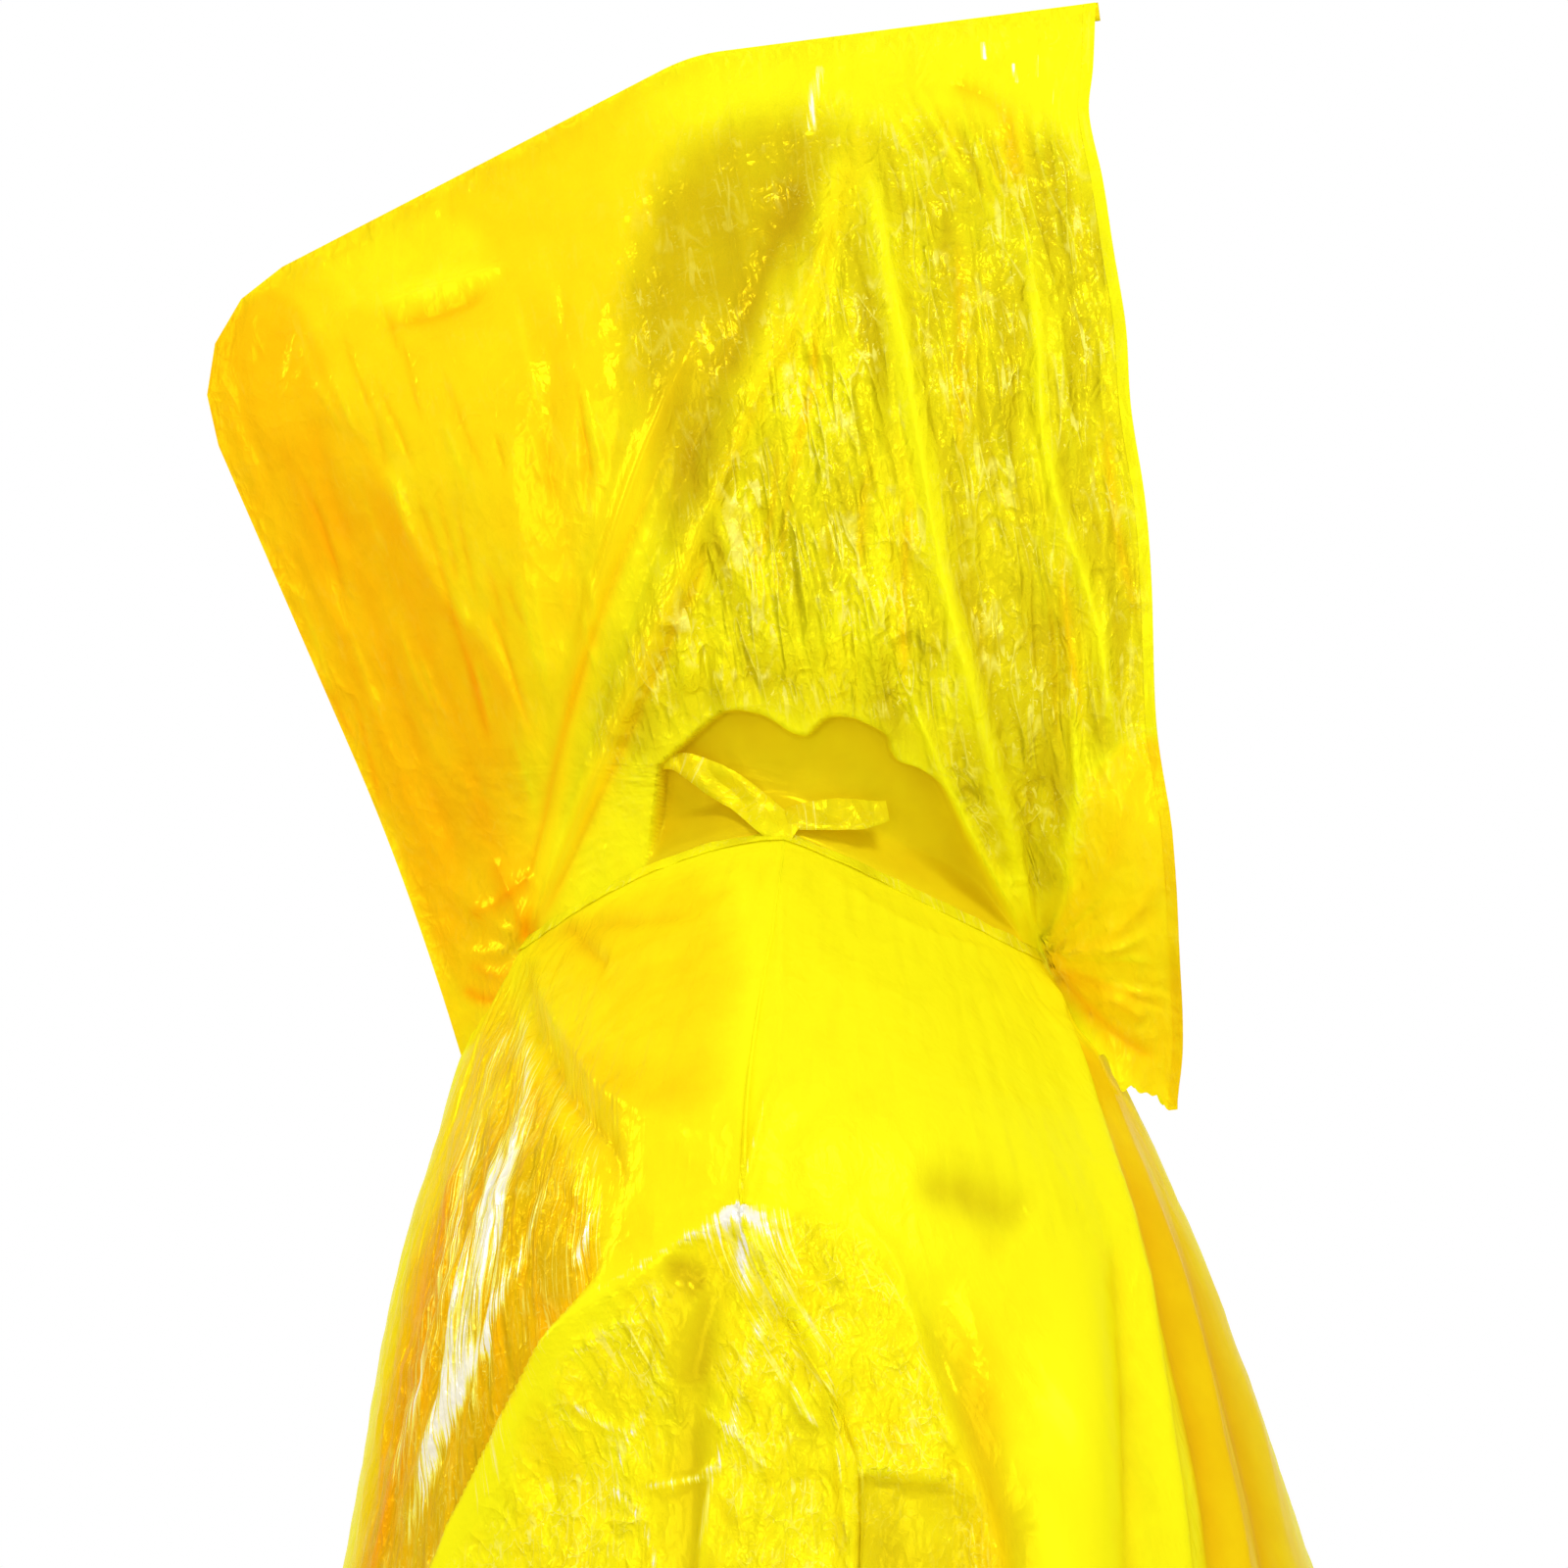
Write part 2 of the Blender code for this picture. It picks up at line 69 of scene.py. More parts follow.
# The hood's outline in the middle plane
CROWN_FRONT = side_corner("crown_weld", "front", "top")
CROWN_BREAK = np.array((-0.030, 0.287))
CROWN_BACK = np.array((-0.200, 0.199))
NAPE_END = np.array((-0.104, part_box("nape_weld")[0].z))
BREAK_RADIUS = 0.060
BACK_RADIUS = 0.045
FLAP_CORNER = side_corner("flap_hem_right", "front", "bottom")
GATHER_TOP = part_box("hood_panel_right")[0].z

# The neck opening
NECK_HALF_WIDTH = 0.067
NECK_HALF_DEPTH = 0.088
NECK_FRONT_HEIGHT = -0.006
NECK_BACK_HEIGHT = -0.003
NECK_SIDE_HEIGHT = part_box("neck_weld_right")[1].z
FRONT_RIM_POWER = 1.1
BACK_RIM_POWER = 1.8
GATHER_FORWARD = 0.082

# How far the hood films stand from the middle plane
SEAM_SIDE = 0.00015
HOOD_HALF_WIDTH = 0.085
RIM_HALF_WIDTH = 0.072
FLAP_HALF_WIDTH = 0.040
HOOD_ROUNDING = 0.075
HOOD_ROUNDNESS = 1.6
WIDEST_FORWARD = 0.020
FLAP_OVERLAP = 0.012
NAPE_OVERLAP = 0.017
GATHER_RISE = 0.090

# The body
SHOULDER_HALF_WIDTH = 0.203
SHOULDER_HEIGHT = -0.082
CHEST_FORWARD = 0.171
BACK_REACH = 0.141
CHEST_HEIGHT = -0.203
HEM_FORWARD = 0.256
HEM_BACK = 0.228
HEM_HALF_WIDTH = 0.335
HEM_FRONT_HEIGHT = -0.950
HEM_SIDE_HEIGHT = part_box("body_front_sheet")[0].z
SHOULDER_OFFSET = -0.013
ARM_OFFSET = 0.024
SHOULDER_SHARE = 0.16
ARM_SHARE = 0.24
HIP_SHARE = 0.45
SQUARENESS = 0.15
ARMHOLE_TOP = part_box("shoulder_weld_right")[0].z
ARMHOLE_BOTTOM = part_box("side_weld_right")[1].z
ARMHOLE_HALF_GAPE = 0.045
ARMHOLE_BLEND = 0.090
ARMHOLE_ROUNDNESS = 1.3
FOLDS_PER_SIDE = 9
FOLD_DEPTH = 0.018
FOLD_START = 0.14
FOLD_LEAN = 0.35

# A place inside the hood and one inside the cape
IN_HOOD = (0.0, -0.01, 0.12)
IN_CAPE = (0.0, 0.0, -0.45)

# Films and bands
HOOD_COLUMNS, HOOD_ROWS = ((300, 320))
CAPE_COLUMNS, CAPE_ROWS = ((350, 280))
FLAP_ROWS_SHARE = 0.27
UPPER_ROWS_SHARE = 0.62
UPPER_DOWN_SHARE = 0.30
BAND_WALL = 0.00025

# ---------------------------------------------------------------- curves


def smoothstep(value):
    """0 below 0 and 1 above 1, with a smooth rise between."""
    t = np.clip(value, 0.0, 1.0)
    return t * t * (3.0 - 2.0 * t)


def mixed(first, last, share):
    """The value at this share of the way from first to last."""
    return first + (last - first) * share


def straight_run(points):
    """A function of shares from 0 to 1 that runs at an even pace along a chain of lines."""
    points = np.array(points, float)
    steps = np.linalg.norm(np.diff(points, axis=0), axis=1)
    lengths = np.concatenate(([0.0], np.cumsum(steps)))

    def at(share):
        where = np.clip(share, 0.0, 1.0) * lengths[-1]
        return np.stack([np.interp(where, lengths, axis) for axis in points.T], axis=-1)

    at.length = lengths[-1]
    at.points = points
    return at


def curved_run(points, steps=10):
    """The same along a smooth curve through the points."""
    points = np.array(points, float)
    ends = np.vstack((2 * points[0] - points[1], points, 2 * points[-1] - points[-2]))
    t = np.linspace(0.0, 1.0, steps, endpoint=False)[:, None]
    chain = []
    for p0, p1, p2, p3 in zip(ends, ends[1:], ends[2:], ends[3:]):
        bend = (2 * p0 - 5 * p1 + 4 * p2 - p3) * t * t + (3 * p1 - p0 - 3 * p2 + p3) * t**3
        chain.append(0.5 * (2 * p1 + (p2 - p0) * t + bend))
    return straight_run(np.vstack((*chain, points[-1:])))


def arc_in_corner(before, corner, after, radius, steps):
    """The points of an arc of this radius in the corner between two straight lines."""
    back = (before - corner) / np.linalg.norm(before - corner)
    on = (after - corner) / np.linalg.norm(after - corner)
    half = math.acos(float(back @ on)) / 2
    middle = (back + on) / np.linalg.norm(back + on)
    centre = corner + middle * (radius / math.sin(half))
    reach = radius / math.tan(half)
    first, last = corner + back * reach - centre, corner + on * reach - centre
    sweep = math.pi - 2 * half
    t = np.linspace(0.0, 1.0, steps + 1)[:, None]
    return centre + (first * np.sin((1 - t) * sweep) + last * np.sin(t * sweep)) / math.sin(sweep)


def distance_to_line(places, line):
    """Each place's distance to a chain of lines, and the nearest point's share of its length.
    The distance is negative to the right of the way that the line runs."""
    steps = np.linalg.norm(np.diff(line, axis=0), axis=1)
    starts = np.concatenate(([0.0], np.cumsum(steps)))
    nearest = np.full(len(places), np.inf)
    hand = np.ones(len(places))
    share = np.zeros(len(places))
    for start, end, step, begun in zip(line, line[1:], steps, starts):
        along = end - start
        t = np.clip((places - start) @ along / step**2, 0.0, 1.0)
        away = places - (start + t[:, None] * along)
        distance = np.hypot(away[:, 0], away[:, 1])
        closer = distance < nearest
        nearest = np.where(closer, distance, nearest)
        hand = np.where(closer, np.sign(along[0] * away[:, 1] - along[1] * away[:, 0]), hand)
        share = np.where(closer, (begun + t * step) / starts[-1], share)
    return nearest * np.where(hand == 0, 1, hand), share


def inside_outline(places, outline):
    """True for each place inside a closed outline."""
    inside = np.zeros(len(places), bool)
    for (x0, y0), (x1, y1) in zip(outline, np.roll(outline, -1, axis=0)):
        crosses = (y0 > places[:, 1]) != (y1 > places[:, 1])
        rise = y1 - y0 if abs(y1 - y0) > 1e-12 else 1e-12
        inside ^= crosses & (places[:, 0] < (x1 - x0) * (places[:, 1] - y0) / rise + x0)
    return inside


# ---------------------------------------------------------------- crumpled film


def soft_noise(places, size, seed):
    """Smooth noise from -1 to 1 over places in space, with hills of this size."""
    values = np.random.default_rng(seed).uniform(-1.0, 1.0, 4096)
    scaled = places / size
    corner = np.floor(scaled).astype(np.int64)
    t = scaled - corner
    t = t * t * (3.0 - 2.0 * t)
    total = np.zeros(places.shape[0])
    for dx in (0, 1):
        for dy in (0, 1):
            for dz in (0, 1):
                x, y, z = corner[:, 0] + dx, corner[:, 1] + dy, corner[:, 2] + dz
                spot = (x * 7919 + y * 104729 + z * 1299709 + (x ^ (y << 3) ^ (z << 6))) % 4096
                weight = np.abs((1 - dx - t[:, 0]) * (1 - dy - t[:, 1]) * (1 - dz - t[:, 2]))
                total += values[spot] * weight
    return total


def crumple(places, size, seed, layers=6):
    """The flat facets and sharp creases of crushed film, from about -1 to 1."""
    random = np.random.default_rng(seed)
    total = np.zeros(places.shape[0])
    for layer in range(layers):
        direction = random.normal(size=3)
        direction /= np.linalg.norm(direction)
        length = size * random.uniform(0.7, 1.7)
        warp = soft_noise(places, size * 2.2, seed + 10 + layer)
        phase = places @ direction / length + 0.9 * warp + random.random()
        zigzag = np.abs(phase % 1.0 - 0.5) * 4.0 - 1.0
        patch = smoothstep(0.25 + 1.5 * soft_noise(places, size * 2.6, seed + 40 + layer))
        total += zigzag * patch * length / size
    return total / math.sqrt(layers) / 0.6


# ---------------------------------------------------------------- strokes on a film

# The tones that are drawn, all those that the material reads, and what a drawing can change
# shade is painted shade, and painted light below 0; amber is partly doubled film, partly painted shade;
# the tone for glints and gloss paints glints and white reflections into the colour and sets the coat
DRAWN_TONES = ("shade", "amber", "gloss", "crush")
TONES = (*DRAWN_TONES, "pull")
CHANGES = ("height", *DRAWN_TONES, "lap")

# A stroke follows a line of (forward, up) in millimetres. It raises the film by height within its width, and
# adds to the tones, painted light and shade among them, that the film's material reads.
Stroke = namedtuple("Stroke", "line width height shade amber gloss crush fade sharp",
                    defaults=(0.0, 0.0, 0.0, 0.0, 0.0, (0.12, 0.12), 1.3))

# A zone is a closed outline of (forward, up) in millimetres with a soft edge
Zone = namedtuple("Zone", "outline edge height shade amber gloss crush", defaults=(0.0,) * 5)

# How many widths from its line a stroke still shows
STROKE_REACH = 3.2


def no_changes(count):
    """Nothing drawn yet at this many places: an array by the name of each thing that can change."""
    return {name: np.zeros(count) for name in CHANGES}


def places_near(flat, line, reach):
    """The numbers of the places within reach of the box round a line."""
    low, high = line.min(axis=0) - reach, line.max(axis=0) + reach
    return np.nonzero(((flat > low) & (flat < high)).all(axis=1))[0]


def add_item(totals, near, item, amount):
    totals["height"][near] += item.height * MM * amount
    for tone in DRAWN_TONES:
        totals[tone][near] += getattr(item, tone) * amount


def add_strokes(flat, strokes, totals):
    for item in strokes:
        line = curved_run(item.line, 6).points * MM
        near = places_near(flat, line, item.width * MM * STROKE_REACH)
        if not len(near):
            continue
        distance, share = distance_to_line(flat[near], line)
        profile = np.exp(-(np.abs(distance / (item.width * MM)) ** item.sharp))
        start, end = (max(f, 1e-4) for f in item.fade)
        profile *= smoothstep(share / start) * smoothstep((1 - share) / end)
        add_item(totals, near, item, profile)


def add_zones(flat, zones, totals):
    for item in zones:
        outline = curved_run([*item.outline, item.outline[0]], 5).points * MM
        near = places_near(flat, outline, item.edge * MM)
        if not len(near):
            continue
        distance = np.abs(distance_to_line(flat[near], outline)[0])
        signed = np.where(inside_outline(flat[near], outline[:-1]), distance, -distance)
        add_item(totals, near, item, smoothstep(0.5 + signed / (item.edge * MM)))


# ---------------------------------------------------------------- the hood's surface

BREAK_ARC = arc_in_corner(CROWN_FRONT, CROWN_BREAK, CROWN_BACK, BREAK_RADIUS, 12)
BACK_ARC = arc_in_corner(CROWN_BREAK, CROWN_BACK, NAPE_END, BACK_RADIUS, 4)
CROWN_PART = np.vstack((CROWN_FRONT[None], BREAK_ARC, BACK_ARC[:3]))
BACK_PART = np.vstack((BACK_ARC[2:], NAPE_END[None]))
CROWN_LINE = straight_run(CROWN_PART)
BACK_LINE = straight_run(BACK_PART)
SEAM_LINE = straight_run(np.vstack((CROWN_PART, BACK_PART[1:])))
GATHER_ANGLE = math.acos(GATHER_FORWARD / NECK_HALF_DEPTH)

# The hood's front rim, a little wavy, from the peak down to the flap's hanging tip
RIM_LINE = curved_run(
    np.array(
        [
            (101, 304), (100, 283), (98.5, 267), (102.5, 245), (106, 220), (109.5, 197), (111, 171),
            (115.5, 141), (117.5, 114), (119, 70), (124, 36), (127, -4), (128.5, -32), (127, -51),
        ]
    )
    * MM
)


def rim_forward(up):
    """How far forward the wavy rim lies at a height."""
    points = RIM_LINE.points[::-1]
    return np.interp(up, points[:, 1], points[:, 0])


def straight_rim(up):
    share = (up - FLAP_CORNER[1]) / (CROWN_FRONT[1] - FLAP_CORNER[1])
    return FLAP_CORNER + (CROWN_FRONT - FLAP_CORNER) * np.asarray(share)[..., None]


def rim_power(forward):
    return np.where(forward > 0, FRONT_RIM_POWER, BACK_RIM_POWER)


def neck_rim(angle):
    """(sideways, forward, up) of the neck opening's rim, from its front at 0 to its back at pi."""
    forward = np.cos(angle)
    low = np.where(forward > 0, NECK_FRONT_HEIGHT, NECK_BACK_HEIGHT)
    up = NECK_SIDE_HEIGHT - (NECK_SIDE_HEIGHT - low) * np.abs(forward) ** rim_power(forward)
    return NECK_HALF_WIDTH * np.sin(angle), NECK_HALF_DEPTH * forward, up


# The waves of the flap's ragged lower edge, as (height in millimetres, waves, start), and how far
# its tip hangs lower
RAGGED_EDGE = ((1.6, 17, 1), (1.1, 31, 0), (0.7, 57, 2))
TIP_DROP = 0.0035


def hood_edge(forward):
    """(sideways, up) of the hood's lower edge: the front flap, the neck's rim and the nape."""
    angle = np.arccos(np.clip(forward / NECK_HALF_DEPTH, -1, 1))
    side, _, up = neck_rim(np.clip(angle, GATHER_ANGLE, math.pi - GATHER_ANGLE))
    flap = np.clip((forward - GATHER_FORWARD) / (FLAP_CORNER[0] - GATHER_FORWARD), 0, 1)
    nape = np.clip((-GATHER_FORWARD - forward) / (-GATHER_FORWARD - NAPE_END[0]), 0, 1)
    up = up - (up - FLAP_CORNER[1]) * np.sin(flap * math.pi / 2)
    up = up - (up - NAPE_END[1]) * (1 - np.cos(nape * math.pi / 2))
    up = up - FLAP_OVERLAP * smoothstep(flap / 0.25) * (1 - 0.8 * flap)
    ragged = sum(height * np.sin(waves * flap + start) for height, waves, start in RAGGED_EDGE)
    up = up + MM * ragged * smoothstep(flap / 0.4) * smoothstep((1 - flap) / 0.15)
    up = up - TIP_DROP * smoothstep((flap - 0.84) / 0.16)
    up = up - NAPE_OVERLAP * smoothstep(nape / 0.4)
    side = side + (FLAP_HALF_WIDTH - side) * flap + FLAP_OVERLAP * np.sin(math.pi * flap) ** 2
    return SEAM_SIDE + (side - SEAM_SIDE) * (1 - nape**2), up


def edge_forward(across):
    """How far forward the hood's lower edge lies, with even steps round the neck's rim."""
    flap_share, nape_share = 0.20, 0.10
    on_rim = (across - flap_share) / (1 - flap_share - nape_share)
    angle = mixed(GATHER_ANGLE, math.pi - GATHER_ANGLE, np.clip(on_rim, 0, 1))
    forward = NECK_HALF_DEPTH * np.cos(angle)
    flap = mixed(FLAP_CORNER[0], GATHER_FORWARD, across / flap_share)
    nape = mixed(-GATHER_FORWARD, NAPE_END[0], (across - 1 + nape_share) / nape_share)
    return np.where(across < flap_share, flap, np.where(across > 1 - nape_share, nape, forward))


def back_share(up):
    """How far down the back seam a height lies."""
    steps = np.linspace(0, 1, 400)
    return np.interp(-up, -BACK_LINE(steps)[:, 1], steps)


def hood_plan(across, up):
    """(forward, up) of the hood film. across runs from the rim to the back seam; up runs from
    the lower edge at -1 over the gathers' top at 0 to the crown at 1."""
    top_back = BACK_LINE(back_share(GATHER_TOP))
    level = mixed(straight_rim(GATHER_TOP), top_back, across[..., None])
    over = np.clip(up, 0, 1)[..., None]
    crown = CROWN_LINE(across)
    seam = BACK_LINE(back_share(GATHER_TOP) * (1 - over[..., 0]))
    bulge = seam - mixed(top_back, CROWN_LINE(1.0), over)
    above = mixed(level, crown, over) + bulge * across[..., None] ** 3
    under = np.clip(-up, 0, 1)[..., None]
    forward = edge_forward(across)
    edge = np.stack((forward, hood_edge(forward)[1]), axis=-1)
    seam = BACK_LINE(back_share(mixed(GATHER_TOP, NAPE_END[1], under[..., 0])))
    seam[..., 1] -= NAPE_OVERLAP * under[..., 0] ** 2
    nape = np.array((NAPE_END[0], hood_edge(NAPE_END[0])[1]))
    bulge = seam - mixed(top_back, nape, under)
    below = mixed(level, edge, under) + bulge * across[..., None] ** 3
    plan = np.where(up[..., None] >= 0, above, below)
    waviness = rim_forward(plan[..., 1]) - straight_rim(plan[..., 1])[..., 0]
    plan[..., 0] += waviness * (1 - across) ** 5
    return plan


SEAM_PARTS = (CROWN_LINE(np.linspace(0, 1, 90)), BACK_LINE(np.linspace(0, 1, 70)))

# How far along the lower edge it is evened out, at most, and the places that are averaged
EDGE_SPREAD = 0.006
EDGE_STEPS = (-1.0, -0.6, -0.2, 0.2, 0.6, 1.0)


def soft_edge(forward, up):
    """(sideways, up) of the hood's lower edge, evened out the higher a place lies above it, so that
    the corner at the front gather doesn't run up the film."""
    spread = np.clip((up - hood_edge(forward)[1]) * 0.5, 0, EDGE_SPREAD)
    nearby = [hood_edge(forward + spread * step) for step in EDGE_STEPS]
    return sum(side for side, _ in nearby) / len(nearby), sum(level for _, level in nearby) / len(nearby)


def hood_side(plan):
    """How far sideways the hood film stands at places in the side view."""
    flat = plan.reshape(-1, 2)
    crown, back = (np.abs(distance_to_line(flat, part)[0]).reshape(plan.shape[:-1]) for part in SEAM_PARTS)
    rounding = 0.4 * (crown + back) + 1e-9
    nearer = np.clip(0.5 + 0.5 * (back - crown) / rounding, 0, 1)
    away = np.maximum(mixed(back, crown, nearer) - rounding * nearer * (1 - nearer), 0)
    from_seam = 1.0 - np.exp(-((away / HOOD_ROUNDING) ** HOOD_ROUNDNESS))
    forward, up = plan[..., 0], plan[..., 1]
    to_rim = smoothstep((forward - WIDEST_FORWARD) / (CROWN_FRONT[0] - WIDEST_FORWARD))
    full = HOOD_HALF_WIDTH + (RIM_HALF_WIDTH - HOOD_HALF_WIDTH) * to_rim
    body = SEAM_SIDE + (full - SEAM_SIDE) * from_seam
    edge_side, edge_up = soft_edge(forward, up)
    opened = smoothstep((up - edge_up) / GATHER_RISE)
    return edge_side + (body - edge_side) * opened, away


# Folds and tones of the hood, on its right side, with painted light and shade along the folds, and painted
# glints
HOOD_STROKES = (
    # the taut folds from the crown to the front gather, painted light
    Stroke([(22, 266), (30, 240), (40, 183), (46, 147), (53, 112), (67, 60), (76, 25), (83, -6)],
           4.2, 5.0, shade=-0.75, crush=-0.6, fade=(0.14, 0.01), sharp=1.7),
    Stroke([(37, 88), (48, 62), (64, 27), (81, -5)], 2.2, 3.0, shade=-0.6, crush=-0.5, fade=(0.3, 0.01)),
    Stroke([(52, 140), (62, 100), (72, 60), (84, 0)], 5.0, -2.4, shade=0.18, fade=(0.2, 0.02)),
    # the band near the rim
    Stroke([(80, 240), (82, 200), (84, 165), (91, 135), (99, 112), (104, 86), (108, 58)],
           3.2, 3.2, shade=-0.55, crush=-0.4, fade=(0.2, 0.12), sharp=1.6),
    Stroke([(94, 100), (95, 60), (94, 20), (92, 0)], 2.2, 2.4, shade=-0.55, fade=(0.1, 0.2)),
    Stroke([(88, 110), (89, 60), (88, 20)], 3.4, -1.6, amber=0.12, fade=(0.3, 0.3)),
    Stroke([(19, 259), (14, 232), (9, 190), (2, 160)], 3.0, 2.0, shade=-0.5, fade=(0.1, 0.5)),
    # the two folds from the crown to the back gather, with a valley between
    Stroke([(24, 262), (8, 212), (-21, 147), (-35, 112), (-50, 78), (-72, 27), (-84, -3)],
           3.6, 4.6, shade=-0.35, amber=0.24, crush=-0.4, fade=(0.16, 0.01), sharp=1.5),
    Stroke([(-22, 213), (-38, 176), (-52, 142), (-67, 92), (-78, 38), (-85, -3)],
           3.4, 3.8, shade=-0.35, amber=0.20, crush=-0.4, fade=(0.2, 0.01), sharp=1.5),
    Stroke([(-16, 200), (-36, 140), (-56, 88), (-74, 32), (-83, 4)], 4.6, -3.0, shade=0.15,
           amber=-0.1, fade=(0.2, 0.05)),
    Stroke([(5, 250), (-8, 215), (-20, 180)], 5.0, -2.5, shade=0.25),
    Stroke([(-30, 180), (-46, 140), (-60, 105), (-74, 60), (-86, 12)], 1.6, -1.4,
           amber=0.30, fade=(0.3, 0.1)),
    Stroke([(-16, 150), (-30, 112), (-46, 76), (-62, 42), (-80, 4)], 1.5, -1.4, amber=0.32, fade=(0.3, 0.1)),
    Stroke([(-16, 31.5), (-8, 33.5), (-1, 34.2)], 1.3, shade=0.35, amber=0.6, fade=(0.5, 0.05)),
    Stroke([(84, 0), (87, 9), (89, 20)], 6.0, shade=-0.10, amber=0.06, crush=-0.8, fade=(0.1, 0.4)),
    # the step where the film leaves the head for the slack bag behind it
    Stroke([(-32, 262), (-44, 230), (-52, 195), (-56, 160), (-62, 120), (-72, 70), (-82, 20)],
           9.0, -3.0, shade=0.10, fade=(0.1, 0.1), sharp=1.8),
    # the slack bag
    Stroke([(-134, 160), (-112, 114), (-98, 98), (-88, 79), (-80, 50)], 5.0, 2.6, amber=0.1,
           fade=(0.2, 0.2)),
    Stroke([(-140, 150), (-124, 112), (-110, 80), (-98, 40), (-92, 10)], 6.0, -1.6, amber=0.12),
    Stroke([(-83, 200), (-88, 160), (-84, 120), (-80, 80), (-82, 40)], 7.0, 2.4, shade=-0.05),
    Stroke([(-70, 215), (-76, 170), (-70, 120), (-72, 90)], 6.0, -1.8, amber=0.1),
    Stroke([(-136, 206), (-118, 212), (-102, 216), (-88, 221)], 3.2, 3.8, shade=-0.2,
           amber=-0.35, fade=(0.3, 0.2)),
    Stroke([(-134, 199), (-112, 204), (-92, 213)], 3.0, -2.6, amber=0.3, fade=(0.3, 0.3)),
    Stroke([(-158, 196), (-140, 208), (-128, 214)], 3.0, 1.6),
    Stroke([(-166, 178), (-158, 140), (-142, 92), (-126, 52), (-110, 10)], 4.0, 1.6, amber=0.1),
    Stroke([(-155, 176), (-146, 138), (-130, 92), (-116, 50), (-102, 14)], 4.0, -1.6, amber=0.12),
    Stroke([(-96, 28), (-88, 12), (-84, 0)], 3.0, 2.4, amber=0.2, fade=(0.2, 0.05)),
    Stroke([(-104, 8), (-94, 12), (-82, 22)], 2.6, 2.0, amber=0.3),
    Stroke([(-86, -8), (-94, -12), (-104, -8)], 2.0, 2.0, amber=0.2, shade=-0.2, fade=(0.1, 0.2)),
    Stroke([(-90, -18), (-98, -20), (-106, -16)], 2.0, -1.8, amber=0.4, fade=(0.1, 0.2)),
    Stroke([(-94, -26), (-100, -28), (-106, -24)], 1.8, 1.6, amber=0.1, shade=-0.2, fade=(0.1, 0.2)),
    Stroke([(-92, 210), (-60, 232), (-30, 252), (10, 272)], 10.0, 2.5, shade=-0.2),
    # the crown's front: a fold with painted shade under it, painted glints, and a fan of fine wrinkles
    Stroke([(50, 287), (62, 286), (72, 282)], 2.4, 1.6, shade=-0.3),
    Stroke([(53, 282), (66, 276), (73, 268), (76, 246)], 3.4, -1.8, amber=0.35, shade=0.1),
    Stroke([(12, 288), (10, 276), (8, 262)], 2.2, 1.5, gloss=0.8, shade=-0.2),
    Stroke([(75, 288), (76, 280)], 1.0, 0.6, gloss=1.4),
    Stroke([(83, 291), (83, 282)], 0.9, 0.6, gloss=1.2),
    Stroke([(65, 295), (66, 288)], 1.0, 0.6, gloss=1.0),
    Stroke([(90, 284), (88, 272)], 0.8, 0.6, gloss=0.8),
    # the flap before the front gather
    Stroke([(84, -4), (97, 10), (108, 34), (112, 62)], 3.0, 2.2, amber=0.1, fade=(0.02, 0.3)),
    Stroke([(85, -6), (100, -2), (114, 8), (124, 26)], 2.6, 2.0, amber=0.1, fade=(0.02, 0.3)),
    Stroke([(86, -8), (100, -14), (114, -18), (124, -16)], 3.0, 2.4, amber=0.25, fade=(0.02, 0.3)),
    Stroke([(88, -12), (100, -24), (112, -34), (122, -40)], 2.6, -2.0, amber=0.3, fade=(0.05, 0.2)),
    Stroke([(97, -26), (106, -20), (118, -26)], 2.4, 2.2, amber=0.1),
)

